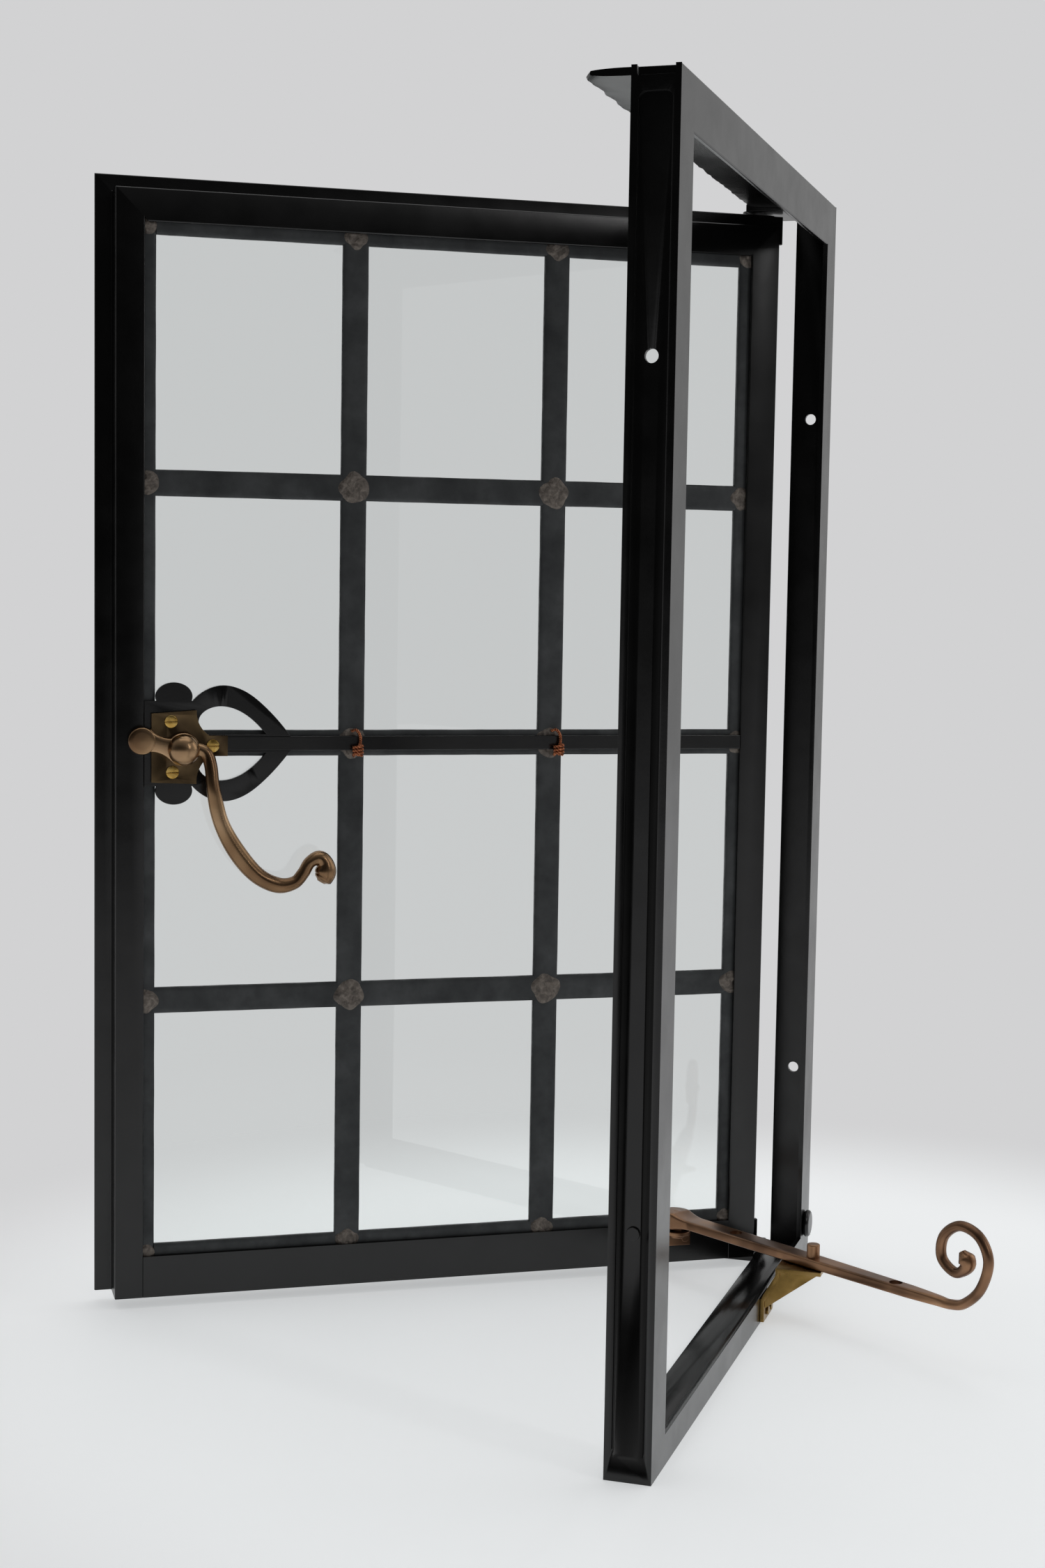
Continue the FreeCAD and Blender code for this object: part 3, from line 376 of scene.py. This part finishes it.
# Tube along a path: across is square to the path and planeNormal, sideways is the other way.
def tube(path, halfA, halfB, sides, planeNormal=None, power=2.0):
    tangent = unit(np.gradient(path, axis=0))
    normal = np.broadcast_to(np.asarray(planeNormal, float), path.shape)
    across = unit(np.cross(normal, tangent))
    sideways = unit(np.cross(tangent, across))
    n = len(path)
    shape = sections(sides, np.broadcast_to(halfA, n), np.broadcast_to(halfB, n), power)
    return along(path, across, sideways, shape)


# Smooth unevenness from -1 to 1: three crossed sine waves of about that spacing.
def wobble(p, spacing, seed):
    rng = np.random.default_rng(seed)
    total = 0.0
    for turn in range(3):
        direction = unit(rng.normal(size=3))
        phase = rng.uniform(0, 2 * np.pi)
        total = total + np.sin(p @ direction * 2 * np.pi / (spacing * (0.7 + 0.35 * turn)) + phase)
    return total / 3.0


# black steelwork: the CAD bars with their edges softened by paint
# merge is in metres, the angles are in degrees
corner = {"merge": 2e-6, "flat": 0.6, "sharp": 28, "segments": 3}


# A merged copy of a CAD node whose real corners get a small round; plain(co) marks joints.
def softened(node, width, plain=None, mat=None, body="frame"):
    bm = bmesh.new()
    bm.from_mesh(cad[node].data)
    bmesh.ops.remove_doubles(bm, verts=bm.verts, dist=corner["merge"])
    flat = math.radians(corner["flat"])
    bmesh.ops.dissolve_limit(bm, angle_limit=flat, verts=bm.verts, edges=bm.edges)
    weight = bm.edges.layers.float.new("bevel_weight_edge")
    bm.verts.ensure_lookup_table()
    joint = np.zeros((len(bm.verts), 1), bool)
    if plain:
        joint = plain(np.array([v.co for v in bm.verts]))
    bm.verts.index_update()
    for edge in bm.edges:
        both = (joint[edge.verts[0].index] & joint[edge.verts[1].index]).any()
        turned = edge.calc_face_angle(0.0) > math.radians(corner["sharp"])
        if len(edge.link_faces) == 2 and turned and not both:
            edge[weight] = 1.0
    me = bpy.data.meshes.new(node + "_soft")
    bm.to_mesh(me)
    bm.free()
    piece = finishPiece(me, node + "_finish", mat or enamel, body, (node,), 60.0)
    rounding = piece.modifiers.new("soft corners", "BEVEL")
    rounding.limit_method = "WEIGHT"
    rounding.width = width * mm
    rounding.segments = corner["segments"]
    rounding.harden_normals = True
    return piece


frameSize = {"half": 0.2175, "high": 0.7, "leg": 0.0281, "sill": 0.0175, "touch": 1e-4}
sashSize = {"left": 7.3, "right": 429.0, "top": 681.6, "low": 6.6, "touch": 0.1,
            "freeInner": 24.7, "hingeInner": 410.3, "rail": 25.8}


# Columns: on the handle side's mitre, on the hinge side's mitre, on the sill's ends.
def frameJoints(co):
    drop = frameSize["high"] - co[:, 2]
    near = np.abs(co[:, 0] + frameSize["half"] - drop) < frameSize["touch"]
    far = np.abs(frameSize["half"] - co[:, 0] - drop) < frameSize["touch"]
    outer = np.abs(co[:, 0]) > frameSize["half"] - frameSize["leg"]
    ends = outer & (np.abs(co[:, 2]) < frameSize["sill"])
    return np.stack([near, far, ends], -1)


# Columns: the two mitres at the top, the butt joints of the bottom rail.
def sashJoints(co):
    p = shutPlace(co)
    drop = sashSize["top"] - p[:, 2]
    near = np.abs(p[:, 0] - sashSize["left"] - drop) < sashSize["touch"]
    far = np.abs(sashSize["right"] - p[:, 0] - drop) < sashSize["touch"]
    outer = (p[:, 0] < sashSize["freeInner"]) | (p[:, 0] > sashSize["hingeInner"])
    ends = outer & (p[:, 2] < sashSize["low"] + sashSize["rail"])
    return np.stack([near, far, ends], -1)


for bar in ("frame_handle_stile", "frame_hinge_stile", "frame_head", "frame_sill"):
    softened(bar, 0.8, frameJoints)
for bar in ("sash_free_stile", "sash_hinge_stile", "sash_top_rail", "sash_bottom_rail"):
    softened(bar, 0.8, sashJoints, body="sash")
softened("sill_end_stop", 2.4)
softened("head_strip", 0.4)
softened("bottom_hinge_arm", 1.0)
softened("top_hinge_arm", 1.0)
softened("sash_hinge_lugs", 1.0, body="sash")
softened("saddle_bar", 0.6, body="sash")
softened("ornamental_plate", 0.7, body="sash")
softened("glazing_putty", 1.2, mat=putty, body="sash")
softened("handle_backplate", 0.5, mat=sheetBronze, body="sash")
softened("stay_bracket", 0.5, mat=stayBronze, body="sash")
softened("peg_bracket", 0.45, mat=brass)
softened("stay_peg", 0.3, mat=brass)
softened("peg_tip", 0.8, mat=stayBronze, body="stay")
softened("stay_pivot_pin", 0.9, mat=stayBronze, body="stay_pivot")
softened("hinge_pins", 0.5)
softened("handle_spindle", 0.3, mat=bronze, body="sash")
softened("handle_screws", 0.2, mat=brightBrass, body="sash")
softened("stay_bracket_screws", 0.4, mat=stayBronze, body="sash")
softened("peg_bracket_screws", 0.4, mat=brass)
softened("fixing_plug", 0.3)
for name, node in cad.items():
    if name.startswith("glass_pane"):
        node.data.materials.clear()
        node.data.materials.append(glass)
print("stage: steelwork")

# leading: cames with crowned faces, lumps of solder where they meet
# in millimetres; power is how square the section is, sides counts its points
cames = {"half": 8.0, "front": 6.5, "back": 12.0, "power": 6.0, "step": 4.0, "dent": 0.22,
         "sides": 36, "dentSpacing": 34.0, "lap": 1}
columns = [23.6, 153.2, 281.8, 411.4]
rows = [31.3, 192.0, 350.5, 508.0, 663.1]


# A came from start to end in (x, z): squarish section, its faces slightly uneven.
def strip(start, end, seed):
    length = np.hypot(end[0] - start[0], end[1] - start[1])
    count = max(4, int(length / cames["step"]))
    t = np.linspace(0, 1, count)[:, None]
    middle = (cames["front"] + cames["back"]) / 2.0
    a = np.array([start[0], middle, start[1]], float)
    b = np.array([end[0], middle, end[1]], float)
    path = a + (b - a) * t
    deep = (cames["back"] - cames["front"]) / 2.0
    grid = tube(path, cames["half"], deep, cames["sides"], (0, 1, 0), cames["power"])
    shift = wobble(grid, cames["dentSpacing"], seed)[..., None] * cames["dent"]
    return onSash(grid + shift * np.array([0.5, 0.6, 0.5]))


# One piece of lead from several runs, each dented by its own seed.
def leadPiece(name, runs, replaced, seed):
    grids = [strip(start, end, seed + n) for n, (start, end) in enumerate(runs)]
    finishPiece(solids(name, grids), name, lead, "sash", replaced, 50.0)


low, high = rows[0], rows[-1]
left, right = columns[0], columns[-1]
edge = cames["half"]
lapped = edge - cames["lap"]
borderRuns = [((left, low - edge), (left, high + edge)), ((right, low - edge), (right, high + edge)),
              ((left + edge, low), (right - edge, low)), ((left + edge, high), (right - edge, high))]
uprightRuns = [((x, low + lapped), (x, high - lapped)) for x in columns[1:3]]
leadPiece("border_lead", borderRuns, ("border_cames",), 10)
leadPiece("upright_lead", uprightRuns, ("upright_cames",), 20)
for row, z in enumerate(rows[1:4], start=1):
    runs = [((a + lapped, z), (b - lapped, z)) for a, b in zip(columns, columns[1:])]
    leadPiece("cross_lead_%d" % row, runs, ("cross_cames_%d" % row,), 20 + 10 * row)

# radius in the field, on the border and in a corner; inset moves a border lump inwards
blob = {"across": 10.0, "edge": 7.6, "corner": 5.5, "rise": 1.1, "inset": 3.0, "rings": 16,
        "sides": 40}


# Wiped solder: radius r(a) wavers round the rim, height falls as 1 - d^4 with lumps on it.
def lump(x, z, radius, y, way, seed):
    rng = np.random.default_rng(seed)
    a = np.linspace(0, 2 * np.pi, blob["sides"], endpoint=False)
    d = np.linspace(0.02, 1.0, blob["rings"])[:, None]
    phases = rng.uniform(0, 2 * np.pi, 4)
    lobes = 0.045 * np.sin(3 * a + phases[0])
    rim = 1 + lobes + 0.04 * np.sin(5 * a + phases[1]) + 0.05 * np.cos(4 * a)
    px = x + radius * rim * d * np.cos(a)
    pz = z + radius * rim * d * np.sin(a)
    flat = np.stack([px, np.zeros_like(px), pz], -1)
    rough = wobble(flat, 5.0, seed) * 0.4 + wobble(flat, 2.6, seed + 1) * 0.22
    height = blob["rise"] * (1 - d ** 4) * (1 + rough) - 0.5 * d ** 8
    top = np.stack([px, y + way * height, pz], -1)
    base = np.stack([px[-1], np.full(blob["sides"], y - way * 1.0), pz[-1]], -1)[None]
    return onSash(np.concatenate([top, base]))


blobs = []
seed = 100
for y, way in ((cames["front"], -1), (cames["back"], 1)):
    for i, x in enumerate(columns):
        for j, z in enumerate(rows):
            seed += 1
            onBorder = (i in (0, 3)) + (j in (0, 4))
            radius = (blob["across"], blob["edge"], blob["corner"])[onBorder]
            inX = ((i == 0) - (i == 3)) * blob["inset"]
            inZ = ((j == 0) - (j == 4)) * blob["inset"]
            blobs.append(lump(x + inX, z + inZ, radius, y, way, seed))
lumpMesh = solids("solder_lumps", blobs)
finishPiece(lumpMesh, "solder_lumps", solder, "sash", ("solder_joints",), 80.0)
print("stage: leading")

# copper ties: a twisted pair round the saddle bar, ending in a knot
# in millimetres; twist counts are over a band's or a coil's whole length
tie = {"wire": 0.5, "front": 1.2, "turns": 9.0, "pair": 0.55}
knot = {"across": 2.9, "deep": 1.5, "out": -0.8, "low": 7.6, "high": 6.6, "coils": 3.2, "turns": 16.0}


# Two strands: path + r (cos, sin)(2 pi turns t), half a turn apart.
def twistedPair(path, pitchTurns, radius):
    t = np.linspace(0, 1, len(path))
    tangent = unit(np.gradient(path, axis=0))
    side = unit(np.cross(np.broadcast_to([1.0, 0.3, 0.1], path.shape), tangent))
    other = np.cross(tangent, side)
    grids = []
    for half in (0.0, np.pi):
        angle = (2 * np.pi * pitchTurns * t + half)[:, None]
        strand = path + radius * (np.cos(angle) * side + np.sin(angle) * other)
        grids.append(tube(strand, tie["wire"], tie["wire"], 10, (0.9, 0.35, 0.2)))
    return grids


wires = []
middle = rows[2]
for x, lean in ((columns[1] + 3.5, -1.5), (columns[2] + 4.5, -1.0)):
    over = [(x - 4, 5.4, middle + 7.4), (x - 1.5, 2.4, middle + 8.2),
            (x + 0.6, tie["front"], middle + 5.0)]
    under = [(x + 0.8, tie["front"] - 0.4, middle + 0.5), (x + lean, tie["front"], middle - 5.0),
             (x + lean - 1.5, 4.0, middle - 8.2)]
    band = smoothPath(over + under, 110)
    wires += [onSash(g) for g in twistedPair(band, tie["turns"], tie["pair"])]
    t = np.linspace(0, 1, 150)
    angle = 2 * np.pi * knot["coils"] * t
    coilX = x + lean * 0.6 + knot["across"] * np.cos(angle)
    coilY = knot["out"] + knot["deep"] * np.sin(angle)
    coil = np.stack([coilX, coilY, middle - knot["low"] + knot["high"] * t], -1)
    wires += [onSash(g) for g in twistedPair(coil, knot["turns"], tie["pair"] * 0.8)]
tieMesh = solids("twisted_ties", wires)
finishPiece(tieMesh, "twisted_ties", copper, "sash", ("copper_ties",), 80.0)
print("stage: ties")

# cockspur handle: turned dome, flat nose, swelling lever with a folded scroll
grip = {"x": 47.5, "z": 347.3, "face": 0.5, "lever": -9.0, "neck": 5.0, "root": -3.0}
dome = {"radius": 9.6, "base": 5.6, "rise": 8.8}
nose = {"x": 22.5, "z": 352.6, "radius": 8.4, "low": 1.4, "thick": 4.0}
neck = {"back": 5, "over": 8, "out": 3.3, "flare": 2.6, "half": 1.9, "power": 3.2}


# Revolve (radius, height towards the room) about the spindle's line at (x, z).
def turnedPart(x, z, profile, count=64):
    p = np.asarray(profile, float)
    a = np.linspace(0, 2 * np.pi, count, endpoint=False)
    r = p[:, 0:1]
    y = np.broadcast_to(grip["face"] - p[:, 1:2], (len(p), count))
    return np.stack([x + r * np.cos(a), y, z + r * np.sin(a)], -1)


# Collar, a cut ring, then a dome: r = radius cos(a), height = base + rise sin(a).
def domeProfile():
    a = np.linspace(0.0, 1.53, 26)
    cap = np.stack([dome["radius"] * np.cos(a), dome["base"] + dome["rise"] * np.sin(a)], -1)
    collar = [(9.9, 0.3), (10.2, 0.9), (10.2, 3.2), (9.9, 3.9), (9.1, 4.3), (8.9, 4.8), (9.3, 5.2)]
    return np.vstack([collar, cap])


# A flat disc with a rounded rim from its back to a slightly crowned face.
def discProfile(radius, low, thick):
    a = np.linspace(-0.5 * np.pi, 0.5 * np.pi, 9)
    rim = np.stack([radius - 1.0 + np.cos(a), low + thick / 2 + (thick / 2) * np.sin(a)], -1)
    crown = [(radius * 0.6, low + thick + 0.15), (0.6, low + thick + 0.25)]
    return np.vstack([[(0.6, low)], rim, crown])


noseProfile = discProfile(nose["radius"], nose["low"], nose["thick"])
handleGrids = [turnedPart(grip["x"], grip["z"], domeProfile()),
               turnedPart(nose["x"], nose["z"], noseProfile)]
t = np.linspace(0, 1, 40)
neckX = grip["x"] - neck["back"] + (nose["x"] - grip["x"] + neck["over"]) * t
neckY = np.full(40, grip["face"] - neck["out"])
neckPath = np.stack([neckX, neckY, grip["z"] + (nose["z"] - grip["z"]) * t], -1)
waist = grip["neck"] + neck["flare"] * (2 * t - 1.0) ** 2
handleGrids.append(tube(neckPath, waist, neck["half"], 28, (0, 1, 0), neck["power"]))
# lever: its line in (x, z), then half widths and half depths at places from 0 to 1 along it
leverLine = [(50, 347.6), (56.5, 347.4), (61.4, 344.5), (63.8, 337), (65.2, 322), (69.8, 303),
             (79.2, 285.4), (91.6, 270.8), (104.5, 264.2), (114.8, 265.4), (120.4, 271.2),
             (124.4, 277.8), (130.0, 280.4), (134.0, 277.0), (134.2, 270.5), (131.5, 265.5)]
leverXZ = smoothPath(leverLine, 200)
k = np.linspace(0, 1, 200)
outRun = smoothValues(k, [(0, grip["root"]), (0.24, grip["lever"]), (1.0, grip["lever"])])
leverPath = np.stack([leverXZ[:, 0], outRun, leverXZ[:, 1]], -1)
widths = [(0, 4.2), (0.08, 4.0), (0.16, 4.0), (0.3, 4.7), (0.5, 5.5), (0.66, 5.0),
          (0.78, 3.9), (0.85, 3.8), (0.91, 5.2), (0.955, 6.6), (0.985, 5.8), (1.0, 2.5)]
depths = [(0, 3.6), (0.2, 3.8), (0.5, 4.5), (0.78, 4.2), (0.88, 5.0), (0.955, 6.8),
          (0.985, 6.0), (1.0, 2.5)]
halfWidth = smoothValues(k, widths)
halfDeep = smoothValues(k, depths)
handleGrids.append(tube(leverPath, halfWidth, halfDeep, 40, (0, 1, 0), 2.0))
handleGrids = [onSash(g) for g in handleGrids]
handleMesh = solids("handle_casting", handleGrids)
replacedNode = ("cockspur_handle",)
finishPiece(handleMesh, "handle_casting", bronze, "handle", replacedNode, 75.0)
print("stage: handle")

# stay: forged bar with a flared eye, drilled for the peg, drawn out into a curl
# in millimetres: low is a height, end, holes and back are distances from the pivot, eye and
# hole are radii, and half, eyeHalf and flare are half thicknesses
stay = {"low": 36.0, "thick": 6.0, "eye": 9.5, "end": 226.0, "holes": (53.2, 184.8), "hole": 4.0,
        "back": 9.4, "half": 3.0, "eyeHalf": 5.6, "flare": 2.6}
barMiddle = stay["low"] + stay["thick"] / 2.0
curlRise = [(0, 0), (10, 3), (21, 14), (26, 31), (19, 44), (5, 47.5), (-6.5, 39), (-7.5, 26),
            (3, 19.5), (11.5, 26), (7, 33)]
straightRun = [(s, barMiddle) for s in (-stay["back"], 0, 20, 60, 119, 160, 200, 216)]
stayLine = smoothPath(straightRun + [(stay["end"] + a, barMiddle + b) for a, b in curlRise], 420)
steps = np.linalg.norm(np.diff(stayLine, axis=0), axis=1)
run = np.concatenate([[0], np.cumsum(steps)]) - stay["back"]
total = run[-1]
eyeRound = np.sqrt(np.clip(stay["eye"] ** 2 - np.minimum(run, 0) ** 2, 0.6, None))
taperRun = [0, 6, 16, 119, 195, 222, total - 16, total - 5, total]
taper = np.interp(run, taperRun, [9.5, 8.6, 7.2, 6.5, 4.9, 3.2, 3.2, 5.6, 2.0])
halfWide = np.where(run < 0, eyeRound, taper)
flare = stay["half"] + stay["flare"] * np.clip(1 - (run - 3) / 14.0, 0, 1) ** 2
plain = stay["half"]
halfThick = np.interp(run, [224, total - 16, total - 5, total], [plain, 3.1, 5.0, 2.0])
halfThick = np.where(run < 20, np.where(run < 3, stay["eyeHalf"], flare), halfThick)
squareness = np.interp(run, [0, 195, 224, total], [7.0, 6.0, 2.0, 2.0])
stayPath = np.stack([stayLine[:, 0], np.zeros(len(stayLine)), stayLine[:, 1]], -1)
barGrid = tube(stayPath, halfThick, halfWide, 40, (0, 1, 0), squareness)
barMesh = solids("stay_forging", [onStay(barGrid)])
replacedNode = ("casement_stay",)
stayPiece = finishPiece(barMesh, "stay_forging", stayBronze, "stay", replacedNode)


# Cut plain holes through a finished piece and keep the result as its mesh.
def drilled(piece, places, radius, name):
    a = np.linspace(0, 2 * np.pi, 48, endpoint=False)
    grids = []
    for s in places:
        ring = np.stack([s + radius * np.cos(a), radius * np.sin(a), np.zeros(48)], -1)
        below = ring + [0, 0, stay["low"] - 16.0]
        above = ring + [0, 0, stay["low"] + 24.0]
        grids.append(onStay(np.stack([below, above])))
    cutter = bpy.data.objects.new(name, solids(name, grids))
    bpy.context.scene.collection.objects.link(cutter)
    cut = piece.modifiers.new("holes", "BOOLEAN")
    cut.operation = "DIFFERENCE"
    cut.solver = "EXACT"
    cut.object = cutter
    graph = bpy.context.evaluated_depsgraph_get()
    done = bpy.data.meshes.new_from_object(piece.evaluated_get(graph))
    piece.modifiers.remove(cut)
    piece.data = done
    bpy.data.objects.remove(cutter)
    piece.data.set_sharp_from_angle(angle=math.radians(40))


drilled(stayPiece, stay["holes"], stay["hole"], "hole_cutter")
print("stage: stay")

# drip hood: thin plate with a ragged outer edge, and a rough bead of weld along it
# in metres, but for the two counts and thin, the share that the plate loses at its edge
hood = {"rows": 260, "across": 14, "ragged": 0.0011, "spacings": (0.021, 0.0085),
        "endReach": 0.004, "endRun": 0.012, "inset": 0.0012, "lip": 0.0006, "thin": 0.45}
hoodLow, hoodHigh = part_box("drip_hood")


# Top and bottom sheets of a plate: its edge wavers by up to 1.2 mm and thins outwards.
def hoodMesh():
    u = np.linspace(hoodLow[0], hoodHigh[0], hood["rows"])[:, None]
    s = np.linspace(0, 1, hood["across"])[None, :]
    p = np.stack([u[:, 0], np.zeros(hood["rows"]), np.zeros(hood["rows"])], -1)
    coarse, fine = hood["spacings"]
    ragged = (wobble(p, coarse, 5) * 0.6 + wobble(p, fine, 6) * 0.5) * hood["ragged"]
    fromEnd = (u[:, 0] - hoodLow[0]) / hood["endRun"]
    endRound = hood["endReach"] * np.clip(1 - fromEnd, 0, 1) ** 2
    reach = hoodHigh[1] - hood["inset"] + ragged - endRound
    y = hoodLow[1] + (reach[:, None] - hoodLow[1]) * s
    half = (hoodHigh[2] - hoodLow[2]) / 2 * (1 - hood["thin"] * s ** 3) * np.ones_like(y)
    centre = (hoodHigh[2] + hoodLow[2]) / 2 + 0.0 * y
    x = np.broadcast_to(u, y.shape)
    top = np.stack([x, y, centre + half], -1)
    bottom = np.stack([x, y, centre - half], -1)[:, ::-1]
    edge = np.stack([u[:, 0], reach + hood["lip"], centre[:, -1]], -1)[:, None]
    return solids("hood", [np.concatenate([top, edge, bottom], 1)])


finishPiece(hoodMesh(), "hood_plate", enamel, "frame", ("drip_hood",), 50.0)
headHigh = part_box("frame_head")[1]
# in metres, but for the count of rows
bead = {"rows": 220, "radius": 0.0011, "start": 0.01, "end": 0.02, "sunk": 0.0013, "back": 0.0006}
beadX = np.linspace(bead["start"], headHigh[0] - bead["end"], bead["rows"])
beadY = np.full(bead["rows"], hoodLow[1] - bead["back"])
beadPath = np.stack([beadX, beadY, np.full(bead["rows"], hoodHigh[2] - bead["sunk"])], -1)
beadLumps = 1 + 0.4 * wobble(beadPath, 0.006, 31) + 0.3 * wobble(beadPath, 0.0027, 32)
beadGrid = tube(beadPath, bead["radius"] * beadLumps, bead["radius"] * beadLumps, 12, (0, 0, 1))
finishPiece(solids("bead", [beadGrid]), "weld_bead", enamel, "frame", (), 60.0)
print("stage: hood")

# studio: pale floor, soft light, camera
# the floor glows near the window and turns to the wall's colour between near and far
studio = {"floor": 4.0, "wall": "#d2d2d3", "ground": "#d8dadb", "glow": 0.62, "near": 0.34,
          "far": 0.62, "slope": (0.85, 0.0, 0.5), "dim": 0.02, "bright": 0.52}
floorMesh = bpy.data.meshes.new("floor")
f = studio["floor"]
floorMesh.from_pydata([(-f, -f, 0), (f, -f, 0), (f, f, 0), (-f, f, 0)], [], [(0, 1, 2, 3)])
floor = bpy.data.objects.new("floor", floorMesh)
bpy.context.scene.collection.objects.link(floor)
ground, groundTree, groundShader = newMaterial("painted studio floor", Roughness=0.6)
groundShader.inputs["Base Color"].default_value = hexColour(studio["ground"])
groundShader.inputs["Emission Color"].default_value = hexColour(studio["ground"])
groundShader.inputs["Emission Strength"].default_value = studio["glow"]
place = objectCoords(groundTree)
away = addNode(groundTree, "ShaderNodeVectorMath", {"operation": "LENGTH"},
               links={0: place.outputs["Vector"]})
blend = addNode(groundTree, "ShaderNodeMapRange", {"interpolation_type": "SMOOTHSTEP"},
                {"From Min": studio["near"], "From Max": studio["far"]},
                {"Value": away.outputs["Value"]})
farGround = addNode(groundTree, "ShaderNodeEmission", values={"Color": hexColour(studio["wall"])})
grounds = {0: blend.outputs["Result"], 1: groundShader.outputs[0], 2: farGround.outputs[0]}
blended = addNode(groundTree, "ShaderNodeMixShader", links=grounds)
groundTree.links.new(blended.outputs[0], groundTree.nodes["Material Output"].inputs["Surface"])
floorMesh.materials.append(ground)

# wall: the camera and the glass see it plain, other rays see it brighten along the slope
world = bpy.data.worlds.new("studio")
bpy.context.scene.world = world
world.use_nodes = True
tree = world.node_tree
tree.nodes.clear()
coords = addNode(tree, "ShaderNodeTexCoord")
slope = addNode(tree, "ShaderNodeVectorMath", {"operation": "DOT_PRODUCT"}, {1: studio["slope"]},
                {0: coords.outputs["Generated"]})
shade = spread(tree, slope.outputs["Value"], studio["dim"], studio["bright"], -0.6, 0.6)
lit = addNode(tree, "ShaderNodeBackground", links={"Color": shade.outputs["Result"]})
wallValues = {"Color": hexColour(studio["wall"]), "Strength": 1.0}
plainWall = addNode(tree, "ShaderNodeBackground", values=wallValues)
rays = addNode(tree, "ShaderNodeLightPath")
seen = addNode(tree, "ShaderNodeMath", {"operation": "MAXIMUM"},
               links={0: rays.outputs["Is Camera Ray"], 1: rays.outputs["Is Transmission Ray"]})
walls = {0: seen.outputs[0], 1: lit.outputs[0], 2: plainWall.outputs[0]}
both = addNode(tree, "ShaderNodeMixShader", links=walls)
addNode(tree, "ShaderNodeOutputWorld", links={"Surface": both.outputs[0]})


# A rectangular lamp aimed at a point; sizes in metres, power in watts.
def softLight(name, place, target, width, height, power):
    data = bpy.data.lights.new(name, "AREA")
    data.shape = "RECTANGLE"
    data.size, data.size_y, data.energy = width, height, power
    light = bpy.data.objects.new(name, data)
    bpy.context.scene.collection.objects.link(light)
    light.location = place
    light.rotation_euler = (Vector(target) - Vector(place)).to_track_quat("-Z", "Y").to_euler()


softLight("overhead", (0.4, 0.3, 2.6), (0, 0.1, 0), 2.4, 2.4, 12)
softLight("room side", (1.4, -2.0, 1.3), (0, 0.1, 0.3), 1.4, 1.8, 7)
softLight("tall strip", (-0.9, -1.9, 1.5), (0, 0.25, 0.3), 0.16, 1.3, 4)

lens = {"place": (-1.31149, -0.27951, 0.45174), "yaw": 17.30, "pitch": 5.00, "roll": 0.94,
        "length": 52.92}
yaw, pitch, roll = (math.radians(lens[key]) for key in ("yaw", "pitch", "roll"))
forward = Vector((math.cos(yaw) * math.cos(pitch), math.sin(yaw) * math.cos(pitch), -math.sin(pitch)))
flatRight = forward.cross(Vector((0, 0, 1))).normalized()
flatUp = flatRight.cross(forward)
camRight = math.cos(roll) * flatRight + math.sin(roll) * flatUp
camUp = -math.sin(roll) * flatRight + math.cos(roll) * flatUp
camData = bpy.data.cameras.new("camera")
camData.sensor_fit = "VERTICAL"
camData.sensor_height = 36.0
camData.lens = lens["length"]
camera = bpy.data.objects.new("camera", camData)
bpy.context.scene.collection.objects.link(camera)
turn = Matrix((camRight, camUp, -forward)).transposed().to_4x4()
camera.matrix_world = Matrix.Translation(lens["place"]) @ turn
bpy.context.scene.camera = camera
bpy.context.scene.view_settings.view_transform = "Standard"
print("stage: studio")
